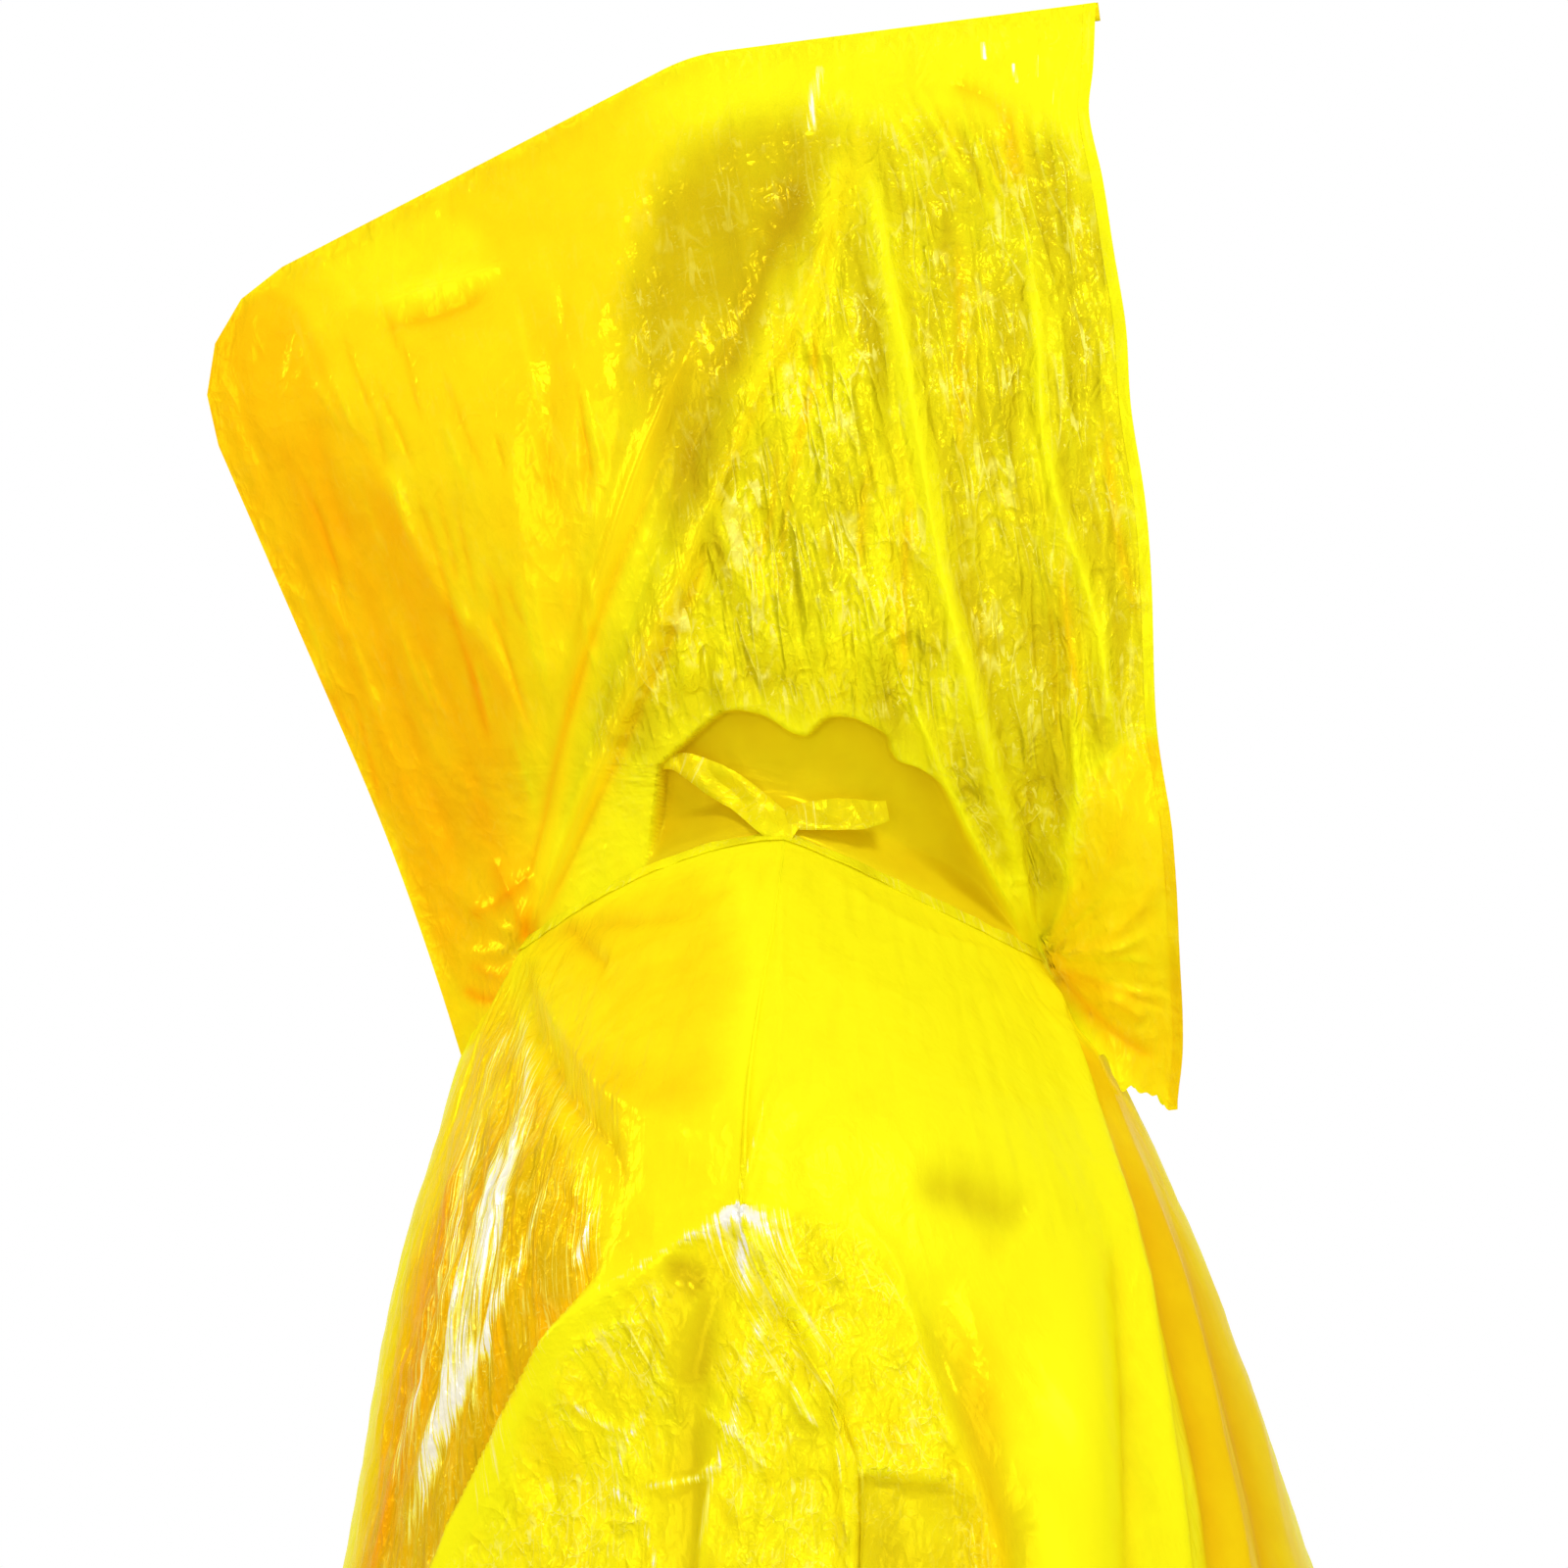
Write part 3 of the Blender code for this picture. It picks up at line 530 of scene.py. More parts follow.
POCKET = [
    (-39.7, 56.5), (-32, 64), (-25, 70), (-18.4, 74.3), (-8.6, 73.3), (-2.9, 70.5), (1.3, 67.6),
    (5.1, 66.2), (7.8, 66.2), (10.8, 68.9), (14.8, 71.9), (20.6, 71.9), (26.4, 69.9), (33.2, 66),
    (34.6, 61.3), (37.5, 57.5), (43.8, 55.4), (50.8, 50.5), (55.6, 41.9), (61.3, 30.2), (68.3, 17.5),
    (78.5, -3.8), (66, -4), (45, 8), (30, 17), (14, 27), (0, 35.5), (-10, 31), (-20, 27), (-38, 22),
    (-46, 19), (-43, 30), (-41, 44),
]
HOOD_ZONES = (
    # painted shade where the film lies on the wearer's head, which is not built, with lighter and darker
    # painted patches
    Zone([(-44, 246), (-28, 263), (0, 270), (40, 268), (88, 262), (106, 236), (114, 150), (118, 70),
          (100, 56), (92, 0), (82, -6), (60, 30), (30, 70), (-20, 76), (-44, 60), (-62, 62),
          (-48, 100), (-36, 130), (-46, 170), (-50, 210)], 22, shade=0.50, crush=0.65),
    Zone([(-44, 226), (-30, 258), (-6, 266), (14, 262), (4, 226), (-16, 176), (-34, 132), (-44, 160)],
         18, shade=0.25, amber=0.1, crush=-0.45),
    Zone([(-8, 190), (20, 200), (30, 150), (46, 100), (60, 70), (30, 78), (-16, 84), (-36, 90),
          (-20, 140)], 16, shade=-0.26, crush=0.5),
    Zone([(84, 140), (104, 150), (114, 110), (116, 70), (98, 60), (84, 90)], 14, shade=0.12),
    Zone([(-42, 58), (-42, 28), (-48, 18), (-38, 22), (-20, 27), (-10, 31), (-14, 44), (-28, 54)], 5,
         shade=0.16, amber=0.06),
    # the lobe that hangs over the shoulder, and the hollow below it, painted in shade
    Zone([(-44, 58), (-30, 76), (-8, 82), (18, 80), (40, 74), (60, 46), (78, 2), (86, 30), (70, 90),
          (30, 120), (-20, 118), (-52, 90)], 30, height=5.0),
    Zone(POCKET, 1.7, height=-13.0, shade=0.36, amber=0.24, crush=-1.0),
    # painted shade and deeper amber behind and in front, and painted light on the flap
    Zone([(-196, 150), (-192, 190), (-172, 212), (-158, 206), (-146, 180), (-134, 158), (-112, 114),
          (-98, 97), (-88, 78), (-84, 40), (-84, -3), (-106, -18), (-140, 60)], 6, amber=0.25, shade=-0.04),
    Zone([(-260, 260), (-150, 280), (-50, 280), (-44, 180), (-60, 90), (-80, 20), (-86, -40), (-150, -40)],
         70, amber=0.37),
    Zone([(110, 64), (98, 50), (94, 20), (86, -6), (100, -30), (130, -54), (132, 40), (122, 64)], 6,
         amber=0.34, shade=-0.50, crush=0.0),
    Zone([(-84, 2), (-60, 60), (-44, 110), (-30, 150), (-36, 190), (-60, 150), (-78, 80)], 14,
         amber=-0.05),
    Zone([(-152, 222), (-120, 238), (-98, 228), (-112, 210), (-142, 208)], 12, amber=-0.22),
)


def bent_ray(centre, angle, before, reach, bend):
    """Three points of a slightly bent line that runs out from a centre at an angle."""
    heading = np.array((math.cos(angle), math.sin(angle)))
    start = np.array(centre) + heading * before
    beside = np.array((-heading[1], heading[0])) * bend
    return [start, start + heading * reach / 2 + beside, start + heading * reach]


def flap_creases():
    """Sharp creases that fan out over the flap from the front gather."""
    random = np.random.default_rng(17)
    creases = []
    for k in range(13):
        angle = math.radians(mixed(-48, 62, k / 12) + random.uniform(-4, 4))
        reach = random.uniform(22, 44)
        line = bent_ray((83.0, -6.0), angle, random.uniform(3, 10), reach, random.uniform(-4, 4))
        creases.append(Stroke(line, random.uniform(1.0, 1.9), random.choice((-1.6, 1.8)),
                              shade=random.uniform(-0.15, 0.1), amber=random.uniform(-0.15, 0.08),
                              fade=(0.1, 0.4)))
    return creases


def fan_of_wrinkles():
    """Fine wrinkles that run down and forward over the temple from the crown, each a painted light line
    beside a painted shade line.
    """
    random = np.random.default_rng(5)
    wrinkles = []
    for k in range(15):
        start = np.array((30 + 4.0 * k + random.uniform(-3, 3), 282 - 0.6 * k + random.uniform(-8, 4)))
        lean = mixed(0.62, 0.15, k / 14) + random.uniform(-0.08, 0.08)
        reach = random.uniform(34, 62)
        middle = start + np.array((lean * 0.45, -0.5)) * reach
        end = start + np.array((lean, -1.0)) * reach
        wrinkles.append(Stroke([start, middle, end], 1.2, 0.8, shade=-0.30, gloss=0.1, fade=(0.3, 0.4)))
        wrinkles.append(Stroke([start + (2.2, 0), middle + (2.2, 0), end + (2.2, 0)], 1.2, -0.6,
                               shade=0.12, amber=0.08, fade=(0.3, 0.4)))
    return wrinkles


def long_wrinkles():
    """Long fine wrinkles down the film between the front folds and the rim, painted lighter, some with an
    orange streak.
    """
    random = np.random.default_rng(11)
    wrinkles = []
    for _ in range(22):
        forward = random.uniform(-6, 104)
        top = random.uniform(120, 250)
        reach = random.uniform(40, 110)
        drift = mixed(-18, 16, (forward + 6) / 110) * reach / 100
        line = [(forward, top), (forward + drift * 0.4 + random.uniform(-2, 2), top - reach / 2),
                (forward + drift, top - reach)]
        amber = 0.45 if random.random() < 0.25 else 0.0
        height = random.uniform(0.6, 1.2)
        wrinkles.append(Stroke(line, random.uniform(1.3, 2.2), height, shade=-0.22, amber=amber,
                               fade=(0.35, 0.35)))
    return wrinkles


def bag_wrinkles():
    """Fine folds down the slack bag behind the head: raised ones painted lighter, sunk ones in deeper amber
    as painted shade.
    """
    random = np.random.default_rng(29)
    wrinkles = []
    for k in range(46):
        share = k / 45
        forward = mixed(-170, -62, share) + random.uniform(-4, 4)
        top = random.uniform(60, 205) + 20 * share
        lean = mixed(0.46, 0.12, share) + random.uniform(-0.14, 0.14)
        reach = random.uniform(18, 56)
        bend = random.uniform(-1.5, 1.5)
        line = [(forward, top), (forward + lean * reach / 2 + bend, top - reach / 2),
                (forward + lean * reach, top - reach)]
        raised_up = random.random() < 0.5
        wrinkles.append(Stroke(line, random.uniform(0.8, 1.5),
                               random.uniform(0.7, 1.4) * (1 if raised_up else -1),
                               amber=-0.16 if raised_up else 0.22, fade=(0.35, 0.35)))
    return wrinkles


# The hood's front and back gathers, as (place, pleats, turn)
PLEATED = (((82, -4), 9, 0.6), ((-84, -3), 8, 1.1))


def gather_pleats(flat, centre, pleats, reach, turn):
    """Pleats that radiate from the point where the film is gathered."""
    away = flat - np.array(centre) * MM
    distance = np.hypot(away[:, 0], away[:, 1])
    angle = np.arctan2(away[:, 1], away[:, 0])
    wave = np.cos(pleats * angle + turn) + 0.5 * np.cos(1.7 * pleats * angle + 2 * turn)
    return wave * smoothstep(distance / (9 * MM)) * np.exp(-distance / (reach * MM))


def other_side(items, seed):
    """The same folds and zones as they fall on the other side, each a little shifted and turned."""
    random = np.random.default_rng(seed)
    moved = []
    for item in items:
        field = "line" if isinstance(item, Stroke) else "outline"
        line = np.array(getattr(item, field), float)
        front = np.hypot(line[:, 0] - 82, line[:, 1])
        back = np.hypot(line[:, 0] + 84, line[:, 1])
        held = np.exp(-np.minimum(front, back) / 25)
        shift = random.uniform(-9, 9, 2) * (1 - held[:, None])
        wander = random.uniform(-3, 3, line.shape) * (1 - held[:, None])
        height = item.height * random.uniform(0.7, 1.1)
        moved.append(item._replace(**{field: line + shift + wander}, height=height))
    return moved


def as_drawn(flat, growth):
    """Where places seen from the side fall in the drawings, which show what stands out larger."""
    centre = np.array((0.0, DRAWING_CENTRE_HEIGHT))
    return centre + (flat - centre) * growth


def hood_tones(flat, hand):
    """Heights and tones of the hood film at places in the side view."""
    flat = as_drawn(flat, 1.014)
    totals = no_changes(len(flat))
    strokes = [*HOOD_STROKES, *fan_of_wrinkles(), *long_wrinkles(), *bag_wrinkles(), *flap_creases()]
    zones = HOOD_ZONES
    if hand == LEFT:
        strokes, zones = other_side(strokes, 21), other_side(zones, 22)
    add_strokes(flat, strokes, totals)
    add_zones(flat, zones, totals)
    for centre, pleats, turn in PLEATED:
        totals["height"] += 1.6 * MM * gather_pleats(flat, centre, pleats, 26, turn * hand)
    return totals


# ---------------------------------------------------------------- the body's surface


def between(start, end, shares):
    """Points from start to end, each with its share of the way sideways and of the way down."""
    start, end = np.array(start), np.array(end)
    return [start + (end - start) * np.array(share) for share in shares]


START, END = (0.0, 0.0), (1.0, 1.0)
CHEST = (CHEST_FORWARD, CHEST_HEIGHT)
SHOULDER_BLADES = (BACK_REACH, CHEST_HEIGHT)
SHOULDER = (SHOULDER_HALF_WIDTH, SHOULDER_HEIGHT)
SIDE_HEM = (HEM_HALF_WIDTH, HEM_SIDE_HEIGHT)
FRONT_PATH = curved_run(
    between((NECK_HALF_DEPTH, NECK_FRONT_HEIGHT), CHEST, (START, (0.13, 0.11), (0.30, 0.22), (0.60, 0.52)))
    + between(CHEST, (HEM_FORWARD, HEM_FRONT_HEIGHT), (START, (0.33, 0.13), (0.65, 0.35), (0.88, 0.62), END))
)
BACK_PATH = curved_run(
    between((NECK_HALF_DEPTH, NECK_BACK_HEIGHT), SHOULDER_BLADES,
            (START, (0.28, 0.15), (0.47, 0.32), (0.70, 0.55)))
    + between(SHOULDER_BLADES, (HEM_BACK, HEM_FRONT_HEIGHT),
              (START, (0.25, 0.13), (0.54, 0.35), (0.82, 0.62), END))
)
SIDE_PATH = curved_run(
    between((NECK_HALF_WIDTH, NECK_SIDE_HEIGHT), SHOULDER, (START, (0.26, 0.15), (0.62, 0.43), (0.88, 0.71)))
    + between(SHOULDER, SIDE_HEM, (START, (0.09, 0.05), (0.18, 0.13), (0.34, 0.24)))
    + between(SHOULDER, SIDE_HEM, ((0.57, 0.40), (0.77, 0.61), END))
)
STEPS = np.linspace(0, 1, 600)
ARMHOLE_START, ARMHOLE_END = np.interp((-ARMHOLE_TOP, -ARMHOLE_BOTTOM), -SIDE_PATH(STEPS)[:, 1], STEPS)


def arm_line(down):
    """How far forward the shoulder and arm line lies at a share of the way down."""
    to_tip = SHOULDER_OFFSET * smoothstep(down / SHOULDER_SHARE)
    past_tip = smoothstep((down - SHOULDER_SHARE) / (ARM_SHARE - SHOULDER_SHARE))
    to_hem = -ARM_OFFSET * smoothstep((down - ARM_SHARE) / (HIP_SHARE - ARM_SHARE))
    return to_tip + (ARM_OFFSET - SHOULDER_OFFSET) * past_tip + to_hem


def cape_point(hand, angle, down):
    """A point of the body film: angle runs from the front at 0 over the side at pi / 2 to the
    back at pi, and down from the neck's rim at 0 to the hem at 1."""
    forward, sideways = np.cos(angle), np.sin(angle)
    ahead = forward > 0
    depth, height = np.where(ahead[..., None], FRONT_PATH(down), BACK_PATH(down)).transpose(2, 0, 1)
    width, side_height = SIDE_PATH(down).transpose(2, 0, 1)
    squared = smoothstep(down / SHOULDER_SHARE)
    power = mixed(rim_power(forward), 2.0, squared)
    fullness = 1.0 - SQUARENESS * squared
    level = 1.0 - np.abs(forward) ** power
    x = width * np.clip(sideways, 0, 1) ** fullness
    f = np.sign(forward) * depth * np.abs(forward) ** fullness + arm_line(down) * sideways**4
    grown = smoothstep((down - FOLD_START) / (1.0 - FOLD_START))
    lean = FOLD_LEAN * np.sin(3.0 * angle)
    wave = FOLD_DEPTH * grown * np.cos(2 * FOLDS_PER_SIDE * angle + lean)
    away = np.maximum(np.hypot(x, f), 1e-9)
    x, f = x * (1 + wave / away), f * (1 + wave / away)
    return np.stack((hand * x, -f, height + (side_height - height) * level), axis=-1)


def gape(down):
    """How far each edge of an armhole stands open at a share of the way down."""
    share = np.clip((down - ARMHOLE_START) / (ARMHOLE_END - ARMHOLE_START), 0, 1)
    return ARMHOLE_HALF_GAPE * np.sin(math.pi * share) ** ARMHOLE_ROUNDNESS


# Folds and tones of the cape, on its right side, with painted light and shade along the folds, and painted
# glints
CAPE_STROKES = (
    # the shoulder's ridge and the star at its tip, with painted glints
    Stroke([(-1, 34), (-1, -32), (-7, -54), (-11, -70), (-14, -82), (-15, -89)], 1.6, 1.6, shade=-0.1,
           fade=(0.3, 0.02)),
    Stroke([(-1.5, -36), (-7, -54), (-11, -70), (-14, -82)], 0.7, 0.5, gloss=0.85, fade=(0.5, 0.02)),
    Stroke([(-15, -89), (-3, -111), (10, -133), (17, -162), (22, -203), (24, -300), (22, -420)],
           3.4, 5.0, shade=-0.25, fade=(0.01, 0.5), sharp=1.2),
    Stroke([(-15, -89), (-32, -98), (-51, -114), (-67, -129), (-80, -150)], 2.6, 3.6, shade=-0.3,
           fade=(0.02, 0.3)),
    Stroke([(-10, -96), (-2, -113), (-10, -140), (-19, -171), (-27, -203), (-34, -260)], 2.0, 2.2,
           shade=-0.3, fade=(0.1, 0.4)),
    Stroke([(-15, -90), (-22, -112), (-30, -150), (-30, -210), (-36, -280)], 5.5, -3.6, shade=0.38,
           crush=-0.6, fade=(0.12, 0.4), sharp=1.8),
    Stroke([(-40, -100), (-34, -106), (-26, -112)], 6.0, -2.0, shade=0.4, sharp=1.8),
    # the second fold and the painted shade beside it
    Stroke([(17, -86), (33, -100), (43, -130), (52, -156), (62, -180), (69, -206), (76, -260), (80, -330)],
           2.8, 4.6, shade=-0.35, fade=(0.15, 0.4), sharp=1.2),
    Stroke([(40, -104), (50, -128), (60, -154), (72, -184), (80, -210), (90, -270)], 7.0, -4.6,
           shade=0.42, fade=(0.2, 0.4), sharp=1.8),
    Stroke([(40, -82), (54, -80), (70, -86), (84, -92)], 8.0, -4.0, shade=0.50, fade=(0.3, 0.2), sharp=1.8),
    # the smooth band before it, painted lighter
    Stroke([(92, -90), (96, -140), (97, -200), (98, -300), (96, -420)], 11.0, 6.0, shade=-0.2,
           crush=-0.6, fade=(0.15, 0.4), sharp=2.0),
    Stroke([(56, -104), (63, -145), (69, -203), (74, -280)], 8.0, 1.5, amber=0.42,
           fade=(0.25, 0.4), sharp=2.0),
    # the fold from the front gather down the chest, and those before it
    Stroke([(83, -7), (90, -25), (98, -50), (108, -82), (116, -112), (122, -150), (130, -203),
            (140, -300), (146, -420)], 3.6, 4.6, shade=-0.3, fade=(0.01, 0.4), sharp=1.3),
    Stroke([(108, -92), (112, -140), (114, -203), (120, -300)], 4.2, -3.4, shade=0.18, amber=0.15),
    Stroke([(96, -30), (108, -56), (122, -92), (134, -130), (144, -172), (152, -210), (166, -300)],
           3.0, 3.6, amber=0.1, fade=(0.06, 0.3)),
    Stroke([(92, -22), (104, -54), (118, -92), (128, -132), (138, -172), (144, -210), (156, -300)],
           3.0, -3.4, shade=0.22, amber=0.35, fade=(0.06, 0.3)),
    Stroke([(102, -34), (116, -62), (130, -96), (142, -134), (154, -176), (162, -210), (178, -300)],
           3.0, -3.2, shade=0.22, amber=0.35, fade=(0.06, 0.3)),
    Stroke([(108, -42), (122, -70), (138, -108), (150, -142), (162, -182), (170, -214)], 2.4, 2.6,
           amber=0.1, fade=(0.06, 0.3)),
    # folds over the shoulder blade from the back gather
    Stroke([(-84, -5), (-76, -24), (-62, -44), (-40, -58), (-22, -64)], 5.0, 2.6, fade=(0.02, 0.3)),
    Stroke([(-84, -6), (-82, -26), (-74, -48), (-58, -66), (-54, -90)], 4.0, -2.6, amber=0.15, shade=0.1,
           fade=(0.05, 0.2)),
    Stroke([(-82, 0), (-66, 4), (-40, 8), (-20, 10)], 3.4, -2.0, shade=0.12, amber=0.15, fade=(0.05, 0.3)),
    Stroke([(-72, 6), (-62, -4), (-56, -8)], 3.0, -1.8, shade=0.2, amber=0.2),
    Stroke([(-60, -10), (-40, 0), (-18, 12), (-8, 26)], 4.0, 1.6),
    # tension lines over the front of the shoulder
    Stroke([(84, -6), (66, -4), (44, 2), (22, 16), (6, 28)], 2.4, 1.4, fade=(0.02, 0.3)),
    Stroke([(84, -10), (60, -16), (34, -16), (8, -10)], 5.0, 1.4, fade=(0.02, 0.4)),
    Stroke([(78, -10), (50, -30), (20, -48), (-4, -66)], 7.0, -1.0, amber=0.05),
    # a patch of folded film low on the arm
    Stroke([(24, -171), (34, -172), (44, -175), (56, -174)], 1.8, 2.6, shade=-0.3, fade=(0.1, 0.1)),
)
NEAR_FOLD = [(-52, -60), (-53, -74), (-54, -88), (-59, -106), (-63, -116), (-71, -132), (-80, -148),
             (-90, -170), (-105, -203), (-122, -250), (-134, -310), (-142, -400)]
CAPE_ZONES = (
    # the drape behind the arm and patches of the arm and chest, painted in shade and deeper amber
    Zone([(-86, -6), (-78, -22), (-68, -38), (-58, -52), (-53, -70), (-54, -88), (-59, -106),
          (-63, -116), (-71, -132), (-90, -170), (-105, -203), (-122, -250), (-138, -330),
          (-150, -450), (-300, -450), (-180, -200), (-150, -120), (-120, -60), (-100, -10)], 24,
         height=-4.0, shade=0.02, amber=0.26, crush=0.30),
    Zone([(-92, -18), (-84, -44), (-74, -70), (-66, -92), (-62, -108), (-66, -120), (-73, -134), (-92, -172),
          (-107, -205), (-124, -252), (-140, -330), (-152, -450), (-300, -450), (-180, -200), (-150, -120),
          (-120, -60), (-100, -10)], 9, shade=0.10, amber=0.34, crush=0.30),
    Zone([(-84, -97), (-74, -96), (-70, -104), (-72, -117), (-82, -116)], 5, shade=0.30, crush=-0.4),
    Zone([(-94, -16), (-104, -50), (-116, -110), (-132, -190), (-150, -270), (-190, -450), (-320, -450),
          (-160, -100)], 5, amber=0.30, shade=-0.1),
    Zone([(-92, -58), (-78, -100), (-84, -140), (-104, -210), (-124, -290), (-150, -450), (-300, -450),
          (-170, -120)], 18, shade=0.26, amber=0.10),
    Zone([(-18, -92), (-40, -108), (-66, -134), (-90, -184), (-118, -250), (-130, -450), (90, -450),
          (66, -206), (52, -156), (42, -128), (30, -104), (12, -92)], 12, shade=0.02, amber=0.13, crush=0.85),
    Zone([(-39, -102), (-28, -104), (-24, -118), (-25, -140), (-38, -142), (-42, -120)], 6, shade=0.34,
         crush=-0.7),
    Zone([(-38, -160), (-22, -158), (-20, -203), (-26, -240), (-44, -240), (-42, -200)], 8, shade=0.25,
         crush=-0.5),
    Zone([(96, -36), (112, -76), (124, -124), (136, -176), (152, -260), (170, -450), (300, -450), (190, -200),
          (150, -110), (124, -56), (110, -36)], 8, amber=0.38, shade=0.16, crush=-0.2),
    Zone([(24, -173), (54, -177), (60, -200), (58, -226), (26, -226)], 4, height=-2.5, shade=0.42,
         crush=-0.6),
    Zone([(-84, -2), (-60, 12), (-30, 20), (-16, 8), (-18, -30), (-30, -50), (-52, -56), (-72, -30)], 20,
         amber=0.30, shade=0.06),
    # the back of the shoulder between the drape and the star
    Zone([(-72, -34), (-40, -40), (-14, -46), (-12, -84), (-34, -100), (-58, -112), (-54, -84)], 16,
         amber=0.14),
    # painted glints in the crushed film below the star, and in the drape
    Zone([(-34, -94), (-14, -84), (4, -88), (6, -108), (-6, -130), (-18, -112)], 6, gloss=0.40),
    Zone([(-84, -34), (-70, -48), (-62, -72), (-62, -112), (-74, -152), (-94, -192), (-86, -124),
          (-80, -74)], 6, gloss=0.36, amber=0.06),
    Zone([(-8, 30), (20, 22), (60, 0), (82, -10), (100, -60), (92, -96), (40, -76), (10, -80), (-8, -40)], 20,
         amber=-0.14),
    Zone([(96, -90), (100, -160), (104, -260), (88, -260), (84, -160)], 14, amber=-0.12),
)

# Bands of taut creases in the drape that mirror the light, painted as glints and white reflections, as (line,
# width, glint tone), and the pale creases in the arm's crushed film, painted as glints, as (line, width)
SHINING_CREASES = (
    ([(-88.4, -14), (-88, -32), (-88, -48), (-92, -62), (-97, -78), (-102, -94), (-107, -112), (-110, -128),
      (-113, -144), (-118, -160), (-124, -184), (-130, -205)], 4.4, 0.54),
    ([(-87.0, -15), (-86.5, -32), (-86.2, -46), (-89.5, -60), (-94, -74), (-99, -90),
      (-104, -108)], 1.7, 0.22),
    ([(-81.8, -70), (-85.7, -90), (-92, -107), (-99, -122), (-104, -136), (-110, -150),
      (-118, -172)], 2.2, 0.60),
    ([(-91, -26), (-97, -40), (-102, -55), (-106, -72), (-110, -92)], 2.2, 0.68),
    ([(-104, -50), (-111, -80), (-117, -110), (-123, -136), (-129, -164), (-134, -200)], 3.2, 0.44),
    ([(-104, -128), (-109, -144), (-115, -160), (-121, -178), (-126, -196), (-130, -214)], 2.2, 0.44),
)
DRAPE_OUTLINE = [(-108, -40), (-118, -80), (-125, -112), (-134, -150), (-142, -200)]
PALE_CREASES = (
    ([(-18, -92), (-34, -98), (-51, -109), (-64, -119)], 0.8),
    ([(-37, -101), (-42, -119), (-39, -131), (-45, -152), (-52, -165), (-55, -181), (-58, -203)], 0.9),
    ([(-42, -120), (-52, -126), (-62, -136), (-70, -142)], 0.7),
    ([(-3, -113), (-11, -134), (-16, -155), (-23, -175), (-27, -194), (-30, -220)], 1.4),
    ([(-12, -94), (-14, -104), (-11, -118)], 1.2),
    ([(-64, -84), (-68, -96), (-72, -108)], 0.8),
    ([(-1, -111), (8, -123), (14, -138), (17, -160), (20, -190)], 0.8),
    ([(-18, -168), (-34, -176), (-52, -178)], 0.7),
    ([(-30, -150), (-18, -158), (-8, -168), (2, -176)], 0.8),
    ([(-66, -150), (-58, -158), (-48, -160)], 0.7),
    ([(-60, -176), (-50, -184), (-44, -196), (-40, -214)], 0.8),
    ([(2, -140), (6, -152), (14, -160)], 0.7),
)


def star_crinkles():
    """Short crinkles that radiate from the shoulder's tip, with painted glints and painted light."""
    random = np.random.default_rng(3)
    crinkles = []
    for k in range(18):
        angle = math.radians(-165 + 150 * k / 17 + random.uniform(-6, 6))
        reach = random.uniform(8, 26)
        line = bent_ray((-15.0, -86.0), angle, 1.5, reach, random.uniform(-3, 3))
        crinkles.append(Stroke(line, 0.9, 1.2, shade=-0.25, gloss=0.42, fade=(0.02, 0.8)))
    crinkles.append(Stroke([(-16, -83), (-15, -86.5), (-13.5, -91)], 1.1, 0.8, shade=-0.5,
                           gloss=0.9, sharp=2.0))
    return crinkles


def drape_creases():
    """The creases of the drape behind the arm, painted shining as glints and reflections, and finer ones
    among them, with a painted orange edge along its outline.
    """
    random = np.random.default_rng(8)
    creases = [Stroke(DRAPE_OUTLINE, 6.0, shade=-0.12, amber=0.35, fade=(0.2, 0.3))]
    for line, width, gloss in SHINING_CREASES:
        creases.append(Stroke(line, width, 0.6, gloss=gloss, fade=(0.12, 0.3), sharp=2.2))
    for line, width in PALE_CREASES:
        creases.append(Stroke(line, 0.7 + width, 1.6, shade=-0.3, gloss=0.68, fade=(0.2, 0.3), sharp=1.6))
    for k in range(26):
        share = k / 25
        start = np.array((-86 - 20 * share, -18 - 22 * share)) + random.uniform(-4, 4, 2)
        skip = random.uniform(0, 0.55)
        end = np.array((-104 - 44 * share, -230.0)) + random.uniform(-5, 5, 2)
        middle = mixed(start, end, 0.5) + np.array((3 + 3 * share, 0)) + random.uniform(-1.5, 1.5, 2)
        line = curved_run([start, middle, end])(np.linspace(skip, min(1, skip + random.uniform(0.3, 0.8)), 6))
        creases.append(Stroke(line, random.uniform(0.9, 1.6), random.uniform(0.5, 1.2),
                              shade=random.uniform(-0.2, 0.2), gloss=random.uniform(0, 0.5),
                              fade=(0.2, 0.3)))
    return creases


# How orange the cape's film is below the part that is drawn
LOWER_AMBER = 0.15


